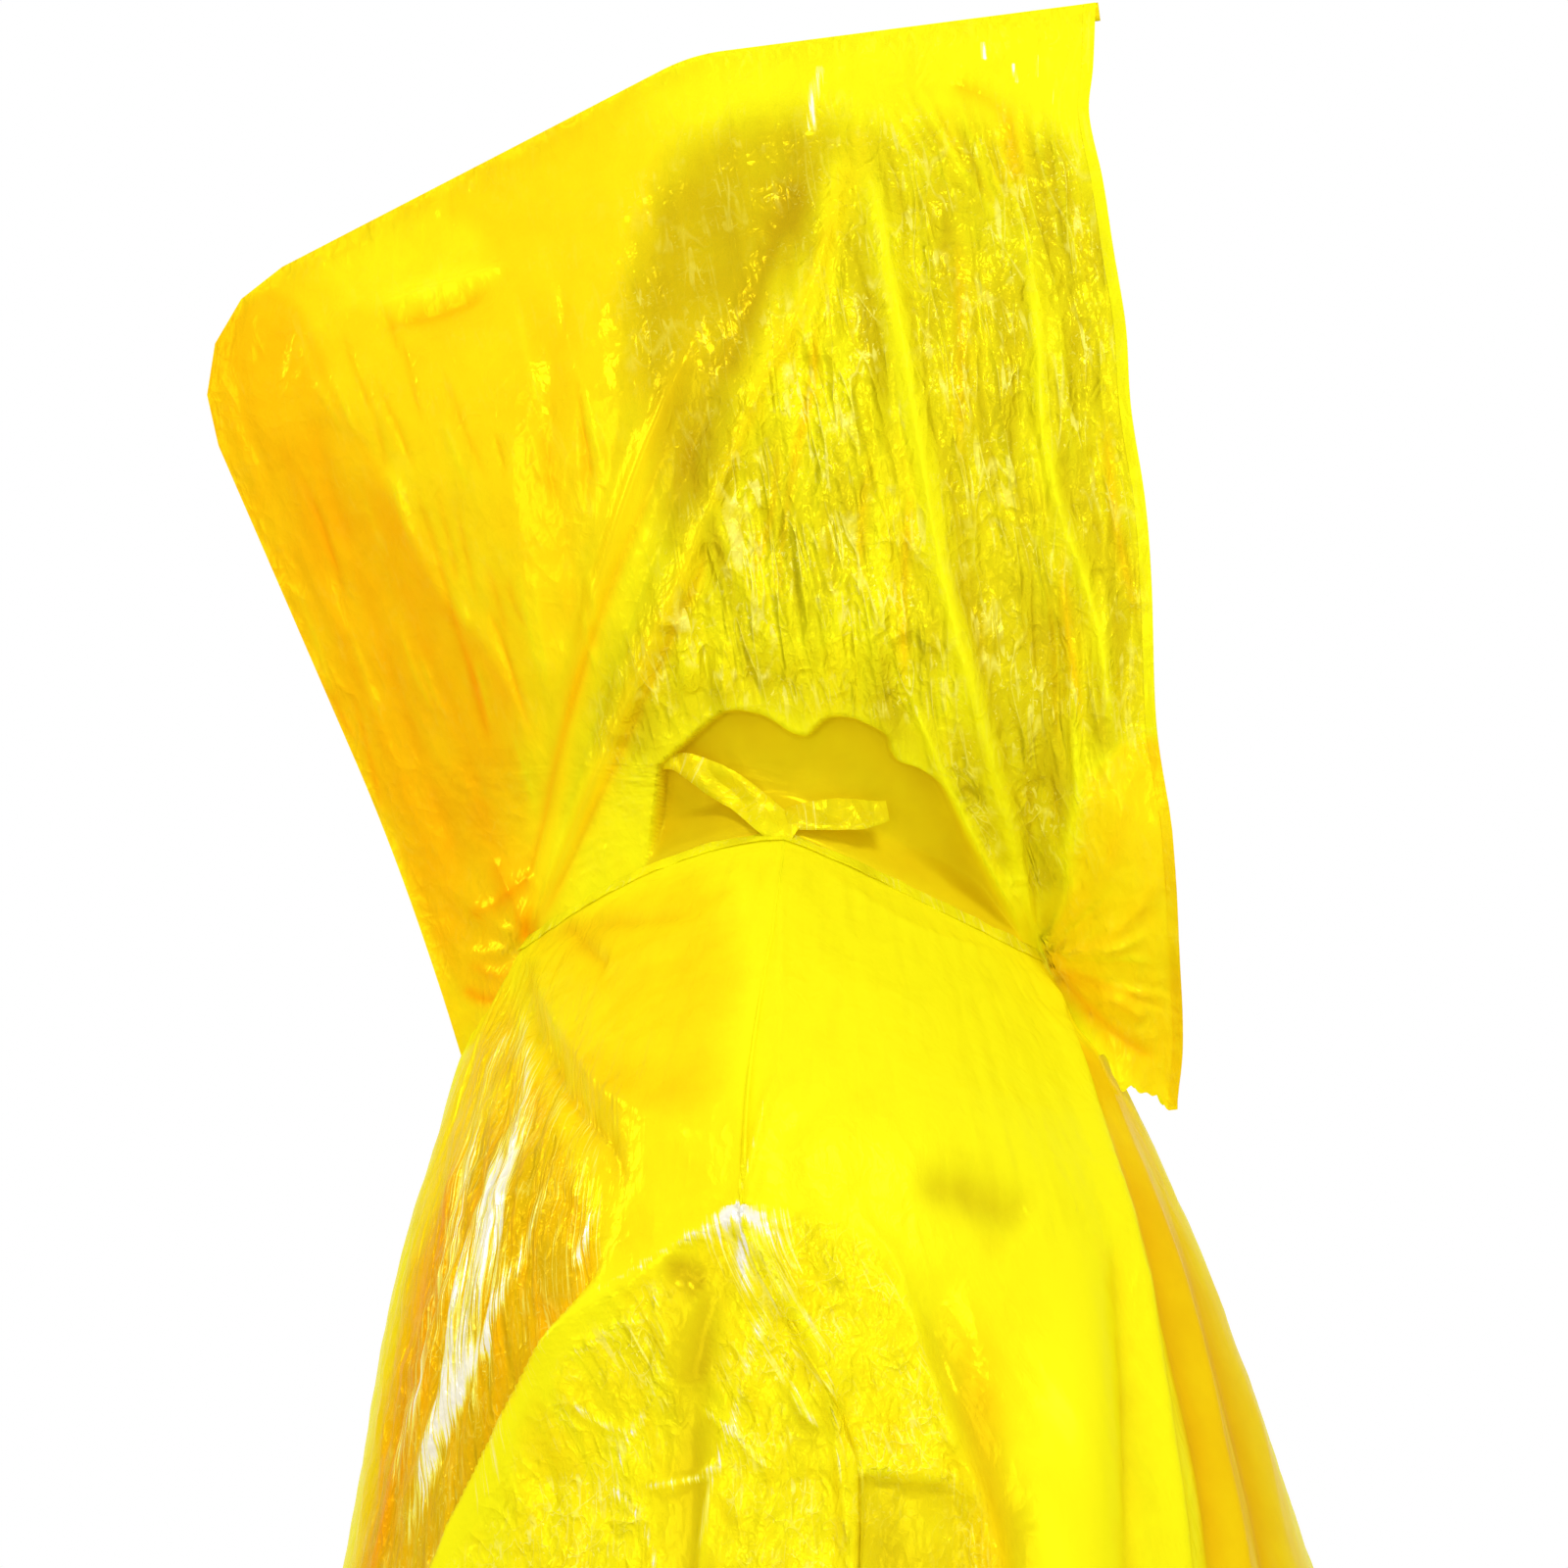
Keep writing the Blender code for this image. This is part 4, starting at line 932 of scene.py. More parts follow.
def cape_tones(flat, hand):
    """Heights and tones of the cape film at places in the side view."""
    growth = 1.012 + 0.032 * smoothstep((0.04 - flat[:, 1]) / 0.14)
    growth = growth + 0.012 * smoothstep((-0.1 - flat[:, 1]) / 0.2)
    flat = as_drawn(flat, growth[:, None])
    totals = no_changes(len(flat))
    strokes = [*CAPE_STROKES, *star_crinkles(), *drape_creases()]
    zones = CAPE_ZONES
    fold = NEAR_FOLD
    if hand == LEFT:
        strokes, zones = other_side(strokes, 31), other_side(zones, 32)
        fold = np.array(NEAR_FOLD) + (6, -8)
    add_strokes(flat, strokes, totals)
    add_zones(flat, zones, totals)
    distance, share = distance_to_line(flat, curved_run(fold, 6).points * MM)
    low, high = fold[-1][1] * MM, fold[0][1] * MM
    held = smoothstep((share - 0.10) / 0.12) * smoothstep((1 - share) / 0.45)
    held *= (flat[:, 1] > low - 0.05) & (flat[:, 1] < high + 0.02)
    inner = np.exp(-((distance / (16 * MM)) ** 2))
    outer = np.exp(-((distance / (3.2 * MM)) ** 2))
    over = np.where(distance > 0, inner, outer)
    within = smoothstep(0.5 + distance / (4.5 * MM))
    totals["height"] += 6.0 * MM * held * over
    totals["lap"] += 6.0 * MM * held * over
    # painted shade just past the near fold's edge, lower down, and painted light on the film that laps over
    # it
    near_edge = np.exp(-((distance / (9 * MM)) ** 2))
    low_down = smoothstep((share - 0.2) / 0.2)
    totals["shade"] += held * near_edge * mixed(0.35 * low_down, -0.35, within)
    totals["amber"] += held * near_edge * mixed(0.10, -0.25, within)
    totals["crush"] += held * near_edge * -0.8 * within
    kept = smoothstep((flat[:, 1] + 0.43) / 0.22)
    tones = {name: values * kept for name, values in totals.items()}
    tones["amber"] = tones["amber"] + LOWER_AMBER * (1 - kept)
    return tones


# ---------------------------------------------------------------- films


def grid_normals(points):
    """Unit normals of a surface given as rows and columns of points."""
    normals = np.cross(np.gradient(points, axis=1), np.gradient(points, axis=0))
    return normals / np.maximum(np.linalg.norm(normals, axis=-1, keepdims=True), 1e-12)


def outward_normals(points, middle):
    normals = grid_normals(points)
    if ((points - middle) * normals).sum() < 0:
        normals = -normals
    return normals


def raised(points, middle, height):
    return points + outward_normals(points, middle) * height[..., None]


# The extents, in metres, over which the fine creases of the hood and of the cape are laid out
HOOD_FLOW = (0.30, 0.22)
CAPE_FLOW = (0.28, 1.1)


def flow(across, along, around):
    """Places on the film as it hangs, in metres across, along and around it."""
    return {"flow_across": across, "flow_along": along, "flow_round": around}


def lie_of(tones, drawn_out=0.22):
    """The same places in one array, with the film's lengthwise direction drawn out."""
    lie = np.stack((tones["flow_across"], tones["flow_along"] * drawn_out, tones["flow_round"]), axis=-1)
    return lie.reshape(-1, 3)


def hood_surface(hand, across, up):
    """Points and tones of a hood film over a grid of shares."""
    plan = hood_plan(across, up)
    side, away = hood_side(plan)
    shape = side.shape
    drawn = hood_tones(plan.reshape(-1, 2), hand)
    totals = {name: values.reshape(shape) for name, values in drawn.items()}
    points = np.stack((hand * side, -plan[..., 0], plan[..., 1]), axis=-1)
    edge_up = soft_edge(plan[..., 0], plan[..., 1])[1]
    past_rim = (np.abs(plan[..., 0]) - GATHER_FORWARD) / 0.016
    from_neck = mixed(smoothstep((plan[..., 1] - edge_up) / 0.014), 1.0, smoothstep(past_rim))
    free = smoothstep(away / 0.022) * from_neck
    normals = outward_normals(points, IN_HOOD)
    sideways = normals * 0.35 + np.array((hand, 0.0, 0.0)) * 0.65
    seed = 100 if hand == RIGHT else 200
    flat = points.reshape(-1, 3)
    crushed = np.clip(0.35 + totals["crush"], 0.05, 1.3)
    totals.update(flow(across * HOOD_FLOW[0], up * HOOD_FLOW[1], np.zeros(shape)))
    lie = lie_of(totals)
    coarse = crumple(flat, 0.021, seed).reshape(shape)
    hanging = crumple(lie, 0.0105, seed + 3, 6).reshape(shape)
    fine = crumple(lie * np.array((1.0, 2.2, 1.0)), 0.0058, seed + 1, 5).reshape(shape)
    drift = soft_noise(flat, 0.045, seed + 2).reshape(shape)
    height = MM * (0.75 * coarse + 0.75 * hanging + 0.20 * fine) * crushed + 1.4 * MM * drift
    near_seam = smoothstep(away / 0.012) * from_neck
    points = points + sideways * (totals["height"] * free)[..., None]
    points = points + normals * (height * near_seam)[..., None]
    totals["crush"] = crushed
    totals["pull"] = np.clip(0.45 + 0.55 * (totals["crush"] - 0.3), 0.2, 0.9)
    return points, totals


def cape_surface(face, across, down):
    """Points and tones of the front sheet (face 1) or back sheet (face -1) over a grid of shares.
    across runs from the right arm line at -1 to the left one at 1."""
    hand = np.where(across > 0, LEFT, RIGHT)
    angle = ANGLE_AT(np.abs(across))
    if face < 0:
        angle = math.pi - angle
    points = cape_point(hand, angle, down)
    from_edge = (1 - np.abs(across)) * math.pi / 2 * SIDE_PATH(down)[..., 0]
    opened = gape(down) * (1 - smoothstep(from_edge / ARMHOLE_BLEND))
    points[..., 1] -= face * opened
    shape = across.shape
    flat = np.stack((-points[..., 1], points[..., 2]), axis=-1).reshape(-1, 2)
    totals = no_changes(len(flat))
    for which in (RIGHT, LEFT):
        mask = (hand == which).reshape(-1)
        if mask.any():
            for name, values in cape_tones(flat[mask], which).items():
                totals[name][mask] = values
    totals = {name: values.reshape(shape) for name, values in totals.items()}
    normals = outward_normals(points, IN_CAPE)
    # folds drawn in the side view fade where the film turns away to the front or the back
    turned = smoothstep(np.abs(normals[..., 0]) / 0.35)
    turned = np.maximum(turned, smoothstep((np.abs(points[..., 0]) - 0.03) / 0.08))
    free = smoothstep((down - 0.0045) / 0.02)
    for name in totals:
        totals[name] = totals[name] * turned
    flat = points.reshape(-1, 3)
    low = smoothstep((down - 0.28) / 0.25)
    crushed = np.clip(0.22 + 0.25 * low + totals["crush"], 0.04, 1.3)
    round_body, down_body = CAPE_FLOW
    totals.update(flow(np.sin(angle) * hand * round_body, down * down_body, np.cos(angle) * round_body))
    lie = lie_of(totals, 0.22 + 0.13 * (1 - down))
    coarse = crumple(flat, 0.022, 300).reshape(shape)
    hanging = crumple(lie, 0.018, 310).reshape(shape)
    fine = crumple(flat * np.array((1.0, 1.0, 0.6)), 0.0085, 320, 5).reshape(shape)
    drift = soft_noise(flat * np.array((1.0, 1.0, 0.28)), 0.07, 330).reshape(shape)
    swell = soft_noise(lie * np.array((1.0, 0.6, 1.0)), 0.030, 340).reshape(shape)
    swell += 0.5 * soft_noise(lie * np.array((1.0, 0.6, 1.0)), 0.014, 341).reshape(shape)
    backwards = np.array((0.0, 1.0, 0.35))
    points = points + normals * (totals["height"] * free)[..., None]
    points = points + backwards * (totals["lap"] * free)[..., None]
    height = 1.1 * coarse * crushed + 0.45 * fine * crushed + 0.7 * hanging * (0.15 + crushed) + 2.5 * drift
    height += 9.0 * low * swell
    height = height * MM
    points = points + normals * (height * free)[..., None]
    totals["crush"] = crushed
    totals["pull"] = mixed(0.18, 0.5, np.maximum(low, smoothstep((totals["amber"] - 0.15) / 0.3)))
    return points, totals


def even_angles():
    """A function that gives the angle round the body at each even share of the way round it."""
    angles = np.linspace(0, math.pi / 2, 400)[None]
    ring = cape_point(RIGHT, angles, np.full_like(angles, 0.22))[0]
    lengths = np.concatenate(([0.0], np.cumsum(np.linalg.norm(np.diff(ring, axis=0), axis=1))))
    return lambda share: np.interp(share, lengths / lengths[-1], angles[0])


ANGLE_AT = even_angles()


def add_object(name, data):
    made = bpy.data.objects.new(name, data)
    bpy.context.scene.collection.objects.link(made)
    return made


def film_mesh(name, columns, rows, place, middle):
    """A film of columns by rows whose place(across, up) gives its points and tones."""
    bm = bmesh.new()
    bmesh.ops.create_grid(bm, x_segments=columns, y_segments=rows, size=0.5)
    corners = np.array([vertex.co[:2] for vertex in bm.verts]) + 0.5
    mesh = bpy.data.meshes.new(name)
    bm.to_mesh(mesh)
    bm.free()
    column = np.rint(corners[:, 0] * columns).astype(int)
    row = np.rint(corners[:, 1] * rows).astype(int)
    across, up = np.meshgrid(np.linspace(0, 1, columns + 1), np.linspace(0, 1, rows + 1))
    points, tones = place(across, up)
    mesh.vertices.foreach_set("co", points[row, column].astype(np.float32).ravel())
    for tone in TONES:
        layer = mesh.attributes.new(tone, "FLOAT", "POINT")
        layer.data.foreach_set("value", tones[tone][row, column].astype(np.float32))
    lie = np.stack([tones[name][row, column] for name in flow(0, 0, 0)], axis=-1).astype(np.float32)
    mesh.attributes.new("lie", "FLOAT_VECTOR", "POINT").data.foreach_set("vector", lie.ravel())
    mesh.update()
    faces_in = sum((p.center - Vector(middle)).dot(p.normal) for p in list(mesh.polygons)[::97]) < 0
    if faces_in:
        mesh.flip_normals()
    mesh.shade_smooth()
    return add_object(name, mesh)


def hood_level(up):
    """The hood's own level, from -1 at the lower edge to 1 at the crown, at a share of its rows."""
    below = up / FLAP_ROWS_SHARE - 1
    above = (up - FLAP_ROWS_SHARE) / (1 - FLAP_ROWS_SHARE)
    return np.where(up < FLAP_ROWS_SHARE, below, above)


def hood_film(hand, material):
    """One half of the hood, from the crown and back seam to the rim and the neck."""

    def place(across, up):
        return hood_surface(hand, across, hood_level(up))

    side = SIDES[hand]
    film = film_mesh(f"hood_film_{side}", HOOD_COLUMNS, HOOD_ROWS, place, IN_HOOD)
    film.data.materials.append(material)
    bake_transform(film)
    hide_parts(f"hood_panel_{side}", f"neck_gathers_{side}")


def cape_film(name, face, replaced, material):
    """The body's front sheet (face 1) or back sheet (face -1), with finer rows above."""

    def place(across, up):
        share = 1 - up
        upper = share < UPPER_ROWS_SHARE
        down = np.where(
            upper,
            UPPER_DOWN_SHARE * share / UPPER_ROWS_SHARE,
            mixed(UPPER_DOWN_SHARE, 1, (share - UPPER_ROWS_SHARE) / (1 - UPPER_ROWS_SHARE)),
        )
        return cape_surface(face, across * 2 - 1, down)

    film = film_mesh(name, CAPE_COLUMNS, CAPE_ROWS, place, IN_CAPE)
    film.data.materials.append(material)
    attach(film, "cape")
    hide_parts(*replaced)


# ---------------------------------------------------------------- materials


def set_inputs(tree, node, inputs):
    """Gives a node its inputs, which are plain values or sockets to link."""
    for name, value in inputs.items():
        if isinstance(value, bpy.types.NodeSocket):
            tree.links.new(value, node.inputs[name])
        else:
            node.inputs[name].default_value = value


def add_node(tree, kind, inputs=None, **settings):
    made = tree.nodes.new(kind)
    for name, value in settings.items():
        setattr(made, name, value)
    set_inputs(tree, made, inputs or {})
    return made


def calculate(tree, operation, *values, use_clamp=False):
    """The result of a sum on the values, which are numbers or sockets."""
    inputs = dict(enumerate(values))
    return add_node(tree, "ShaderNodeMath", inputs, operation=operation, use_clamp=use_clamp).outputs[0]


def map_range(tree, value, *ends):
    """The value from its first range, clamped, to its second one, which is 0 to 1 if not given."""
    return add_node(tree, "ShaderNodeMapRange", dict(enumerate((value, *ends)))).outputs[0]


def colour_mix(tree, share, first, last):
    inputs = {"Factor": share, 6: first, 7: last}
    return add_node(tree, "ShaderNodeMix", inputs, data_type="RGBA").outputs[2]


def shader_mix(tree, share, first, last):
    inputs = {0: share, 1: first.outputs[0], 2: last.outputs[0]}
    return add_node(tree, "ShaderNodeMixShader", inputs).outputs[0]


def new_material(name):
    """A material, its node tree and its main shader."""
    material = bpy.data.materials.new(name)
    material.use_nodes = True
    return material, material.node_tree, material.node_tree.nodes["Principled BSDF"]


# The creases of crushed film: whether they follow the film's own lie, how fine, how far drawn out lengthwise,
# how high, how wide a painted bright crest, and where the pattern starts
CREASES = (
    (True, 62.0, 0.24, 1.00, 0.014, 0.0),
    (True, 140.0, 0.20, 0.50, 0.026, 3.1),
    (False, 62.0, 0.80, 0.45, 0.008, 7.7),
    (False, 150.0, 0.70, 0.28, 0.014, 9.4),
    (False, 420.0, 0.75, 0.07, 0.000, 12.3),
)
# The painted dabs of glint, in the same way: follows, how fine, how far drawn out, the least noise that
# shows, and the start
DABS = (
    (True, 340.0, 0.20, 0.62, 1.3),
    (False, 700.0, 0.80, 0.65, 5.2),
)


def film_crinkles():
    """The fine creases of thin film: their height, a mask of the crests and dabs that are painted as glints,
    and long soft streaks from -0.5 to 0.5."""
    group = bpy.data.node_groups.new("film crinkles", "ShaderNodeTree")
    for name in ("Height", "Crests", "Streaks"):
        group.interface.new_socket(name, in_out="OUTPUT", socket_type="NodeSocketFloat")
    place = add_node(group, "ShaderNodeTexCoord").outputs["Object"]
    lie = add_node(group, "ShaderNodeAttribute", attribute_name="lie").outputs["Vector"]
    pull = add_node(group, "ShaderNodeAttribute", attribute_name="pull").outputs["Fac"]
    slack = calculate(group, "SUBTRACT", 1.0, pull)

    def noise(follows, fineness, drawn_out, start, distortion):
        """Noise that is drawn out along the film's own lie or downwards."""
        drawn = add_node(group, "ShaderNodeMapping",
                         {"Vector": lie if follows else place, "Location": (start,) * 3,
                          "Scale": (1, drawn_out, 1) if follows else (1, 1, drawn_out)})
        inputs = {"Vector": drawn.outputs[0], "Scale": fineness, "Detail": 1.0, "Distortion": distortion}
        return add_node(group, "ShaderNodeTexNoise", inputs).outputs["Fac"]

    # the crests and dabs become painted glints in the film's colour
    height, crests = 0.0, 0.0
    for follows, fineness, drawn_out, tall, crest, start in CREASES:
        field = noise(follows, fineness, drawn_out, start, 0.5)
        fall = calculate(group, "ABSOLUTE", calculate(group, "SUBTRACT", field, 0.5))
        rise = calculate(group, "MULTIPLY", fall, -tall)
        if follows:
            rise = calculate(group, "MULTIPLY", rise, pull)
        height = calculate(group, "ADD", rise, height)
        if crest:
            line = map_range(group, fall, 0.0, crest, 1.0, 0.0)
            line = calculate(group, "MULTIPLY", line, pull if follows else slack)
            crests = calculate(group, "MAXIMUM", line, crests)
    for follows, fineness, drawn_out, least, start in DABS:
        field = noise(follows, fineness, drawn_out, start, 0.8)
        crests = calculate(group, "MAXIMUM", map_range(group, field, least, least + 0.05), crests)
    patches = add_node(group, "ShaderNodeTexNoise",
                       {"Vector": place, "Scale": 60.0, "Detail": 3.0, "Roughness": 0.65}).outputs["Fac"]
    lit = map_range(group, patches, 0.46, 0.62)
    drawn = add_node(group, "ShaderNodeMapping", {"Vector": lie, "Scale": (1, 0.22, 1)})
    long_field = add_node(group, "ShaderNodeTexNoise",
                          {"Vector": drawn.outputs[0], "Scale": 85.0, "Detail": 2.0, "Distortion": 0.4})
    streaks = calculate(group, "SUBTRACT", long_field.outputs["Fac"], 0.5)
    broken = calculate(group, "MULTIPLY", crests, lit)
    add_node(group, "NodeGroupOutput", {"Height": height, "Crests": broken, "Streaks": streaks})
    return group


# The film's yellows: amber mixes towards ORANGE, partly as painted shade, and shade towards OLIVE
LEMON = (0.97, 0.945, 0.009, 1.0)
ORANGE = (1.0, 0.42, 0.002, 1.0)
OLIVE = (0.56, 0.40, 0.006, 1.0)
# the colours of painted glints and of painted white reflections
PAINTED_GLINT_COLOUR = (1.0, 0.95, 0.15, 1.0)
PAINTED_REFLECTION_COLOUR = (1.0, 1.0, 0.97, 1.0)
FILM_SHADER = {
    "Roughness": 0.24,
    "Metallic": 0.12,
    "IOR": 1.14,
    "Specular IOR Level": 0.06,
    "Specular Tint": (1.0, 0.88, 0.25, 1.0),
    "Coat Roughness": 0.10,
}
LET_THROUGH = 0.28
FILM_BUMP, WELD_BUMP = 0.009, 0.006


def glossy_film(name, crinkles, bump):
    """Thin glossy film that lets light through, with the painted light, shade, glints and reflections of the
    strokes on it.
    """
    material, tree, shader = new_material(name)
    tones = {
        tone: add_node(tree, "ShaderNodeAttribute", attribute_name=tone).outputs["Fac"]
        for tone in DRAWN_TONES
    }
    crinkle = add_node(tree, "ShaderNodeGroup", node_tree=crinkles)
    place = add_node(tree, "ShaderNodeTexCoord").outputs["Object"]
    cloud = add_node(tree, "ShaderNodeTexNoise",
                     {"Vector": place, "Scale": 55.0, "Detail": 3.0, "Roughness": 0.55}).outputs["Fac"]
    uneven = calculate(tree, "MULTIPLY_ADD", cloud, 0.26, -0.13)
    streak = calculate(tree, "MULTIPLY", crinkle.outputs["Streaks"], tones["crush"])
    clouded = calculate(tree, "MULTIPLY_ADD", streak, -0.5, uneven)
    darkened = calculate(tree, "MULTIPLY_ADD", streak, 1.3, uneven)
    amber = calculate(tree, "ADD", tones["amber"], clouded, use_clamp=True)
    shade = calculate(tree, "ADD", tones["shade"], darkened, use_clamp=True)
    # the amber tone warms the yellow, partly as painted shade, and the shade tone paints shade towards olive
    warm = colour_mix(tree, amber, LEMON, ORANGE)
    deep = colour_mix(tree, shade, warm, OLIVE)
    crushed = calculate(tree, "SUBTRACT", tones["crush"], 0.30, use_clamp=True)
    painted_glint_share = calculate(tree, "MULTIPLY", crinkle.outputs["Crests"], crushed)
    painted_glint_mask = calculate(tree, "MULTIPLY", painted_glint_share, 1.15, use_clamp=True)
    # painted reflections: the torn strands in which the taut creases mirror the light, painted pale and white
    lie = add_node(tree, "ShaderNodeAttribute", attribute_name="lie").outputs["Vector"]
    streaky = add_node(tree, "ShaderNodeMapping", {"Vector": lie, "Scale": (1, 0.045, 1)})
    torn = add_node(tree, "ShaderNodeTexNoise",
                    {"Vector": streaky.outputs[0], "Scale": 620.0, "Detail": 3.0, "Roughness": 0.7})
    swing = calculate(tree, "MULTIPLY_ADD", torn.outputs["Fac"], 2.8, -0.4)
    stranded = calculate(tree, "MULTIPLY", swing, tones["gloss"])
    shine = calculate(tree, "MULTIPLY_ADD", torn.outputs["Fac"], 1.5, stranded)
    # pale paints glints and white paints reflections into the colour; white also sets the coat
    pale = map_range(tree, shine, 1.25, 1.50)
    white = map_range(tree, shine, 1.62, 1.80)
    painted_glint = calculate(tree, "MAXIMUM", pale, painted_glint_mask)
    with_painted_glints = colour_mix(tree, painted_glint, deep, PAINTED_GLINT_COLOUR)
    colour = colour_mix(tree, white, with_painted_glints, PAINTED_REFLECTION_COLOUR)
    height = calculate(tree, "MULTIPLY", crinkle.outputs["Height"], tones["crush"])
    bumped = add_node(tree, "ShaderNodeBump",
                      {"Strength": 1.0, "Distance": bump, "Height": height}).outputs["Normal"]
    set_inputs(tree, shader, {"Base Color": colour, "Normal": bumped, "Coat Weight": white, **FILM_SHADER})
    through = add_node(tree, "ShaderNodeBsdfTranslucent", {"Color": colour, "Normal": bumped})
    both = shader_mix(tree, LET_THROUGH, shader, through)
    tree.links.new(both, tree.nodes["Material Output"].inputs["Surface"])
    return material


# ---------------------------------------------------------------- stage, lights and camera

NECK_ABOVE_FLOOR = 1.42
FLOOR_REACH = 3.2
SOFT_LIGHT = 0.56
CAMERA_DISTANCE = 5.0
VIEW_WIDTH = 0.508
VIEW_CENTRE = Vector((0.0, 0.0, 0.0508))


def pale_backdrop():
    """Even soft light from all round, on a white background."""
    world = bpy.data.worlds.new("studio")
    bpy.context.scene.world = world
    world.use_nodes = True
    tree = world.node_tree
    tree.nodes.clear()
    rays = add_node(tree, "ShaderNodeLightPath")
    seen = calculate(tree, "MAXIMUM", rays.outputs["Is Camera Ray"], rays.outputs["Is Glossy Ray"])
    seen = calculate(tree, "MAXIMUM", seen, rays.outputs["Is Transmission Ray"])
    lit = add_node(tree, "ShaderNodeBackground", {"Color": (1, 1, 1, 1), "Strength": SOFT_LIGHT})
    shown = add_node(tree, "ShaderNodeBackground", {"Color": (1, 1, 1, 1), "Strength": 1.0})
    add_node(tree, "ShaderNodeOutputWorld", {"Surface": shader_mix(tree, seen, lit, shown)})


def pale_floor():
    """A pale floor that fades into the white background away from the middle."""
    bm = bmesh.new()
    bmesh.ops.create_grid(bm, x_segments=1, y_segments=1, size=FLOOR_REACH)
    bmesh.ops.translate(bm, verts=bm.verts, vec=(0, 0, -NECK_ABOVE_FLOOR))
    mesh = bpy.data.meshes.new("floor")
    bm.to_mesh(mesh)
    bm.free()
    floor = add_object("floor", mesh)
    paint, tree, shader = new_material("pale floor")
    set_inputs(tree, shader, {"Base Color": (0.86, 0.86, 0.86, 1.0), "Roughness": 0.9})
    place = add_node(tree, "ShaderNodeTexCoord").outputs["Object"]
    level = add_node(tree, "ShaderNodeVectorMath", {0: place, 1: (1, 1, 0)}, operation="MULTIPLY")
    away = add_node(tree, "ShaderNodeVectorMath", {0: level.outputs[0]}, operation="LENGTH")
    faded = add_node(tree, "ShaderNodeMapRange", {0: away.outputs["Value"], 1: 1.2, 2: 3.0},
                     interpolation_type="SMOOTHSTEP")
    white = add_node(tree, "ShaderNodeEmission", {"Color": (1, 1, 1, 1), "Strength": 1.0})
    both = shader_mix(tree, faded.outputs[0], shader, white)
    tree.links.new(both, tree.nodes["Material Output"].inputs["Surface"])
    mesh.materials.append(paint)


def softbox(name, place, size, power):
    """A square lamp that looks at the middle of the neck."""
    lamp = bpy.data.lights.new(name, "AREA")
    lamp.size = size
    lamp.energy = power
    box = add_object(name, lamp)
    box.location = place
    box.rotation_euler = (-Vector(place)).to_track_quat("-Z", "Y").to_euler()


def side_camera():
    """A long lens, level, that looks at the hood's right side."""
    lens = bpy.data.cameras.new("side view")
    lens.sensor_width = 36.0
    lens.lens = lens.sensor_width * CAMERA_DISTANCE / VIEW_WIDTH
    camera = add_object("camera", lens)
    camera.location = VIEW_CENTRE - Vector((CAMERA_DISTANCE, 0, 0))
    camera.rotation_euler = (math.pi / 2, 0, -math.pi / 2)
    bpy.context.scene.camera = camera


# ---------------------------------------------------------------- bands and seams

RIM_BAND_WIDTH = 0.0034
NECK_BAND_WIDTH = 0.0050
SHOULDER_BAND_HALF_WIDTH = 0.0009
BAND_LIFT = 0.0002
NECK_BAND_LIFT = 0.0003
SHOULDER_BAND_START = 0.006
FIN_WIDTH = 0.0060
FIN_WALL = 0.0002
FIN_COLUMN = 0.0011
# The gap between two fins, as a share of the whole seam, and the height and length of their crimps
FIN_GAP = 0.0004
FIN_CRIMP = 0.00018
FIN_CRIMP_STEP = 0.0022


def solid_band(name, columns, rows, place, middle, material, lift=BAND_LIFT, wall=BAND_WALL):
    """A band of film with a real wall, lying over another film."""

    def lifted(across, up):
        points, tones = place(across, up)
        return raised(points, middle, np.full(across.shape, lift)), tones

    band = film_mesh(name, columns, rows, lifted, middle)
    band.data.shade_flat()
    thickness = band.modifiers.new("wall", "SOLIDIFY")
    thickness.thickness = wall
    thickness.offset = 1.0
    band.data.materials.append(material)
    return band


def plain_tones(across, up, size, **given):
    """Even tones over a band of this (length, width)."""
    tones = {name: np.full(across.shape, given.get(name, 0.0)) for name in TONES}
    return {**tones, **flow(across * size[0], up * size[1], np.zeros(across.shape))}


def rim_band(hand, material):
    """The folded hem along the hood's front rim and its flap."""
    side = SIDES[hand]
    share = RIM_BAND_WIDTH / (FLAP_CORNER[0] + abs(BACK_LINE(back_share(GATHER_TOP))[0]))

    def place(across, up):
        points, tones = hood_surface(hand, across * share, hood_level(up))
        # the hem keeps a fifth of the film's painted shade and is painted a little lighter
        tones["shade"] = tones["shade"] * 0.2 - 0.1
        tones["crush"] = np.full(across.shape, 0.45)
        return points, tones

    band = solid_band(f"rim_band_{side}", 3, 360, place, IN_HOOD, material)
    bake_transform(band)
    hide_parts(f"rim_hem_{side}", f"flap_hem_{side}")


def neck_band(hand, material):
    """The crinkled selvedge round half of the neck opening."""
    side = SIDES[hand]

    def place(across, up):
        angle = mixed(GATHER_ANGLE, math.pi - 0.002, across)
        points = cape_point(hand, angle, up * NECK_BAND_WIDTH / FRONT_PATH.length)
        flat = points.reshape(-1, 3)
        ruffle = soft_noise(flat, 0.006, 71).reshape(across.shape)
        points[..., 2] += 0.0006 * ruffle
        tones = plain_tones(across, up, (0.20, NECK_BAND_WIDTH), crush=0.8, shade=0.06)
        # painted glints on the front part of the selvedge
        tones["gloss"] = 0.35 * smoothstep((0.42 - across) / 0.1)
        return points, tones

    band = solid_band(f"neck_seam_{side}", 260, 4, place, IN_CAPE, material, lift=NECK_BAND_LIFT)
    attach(band, "cape")
    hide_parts(f"neck_weld_{side}")


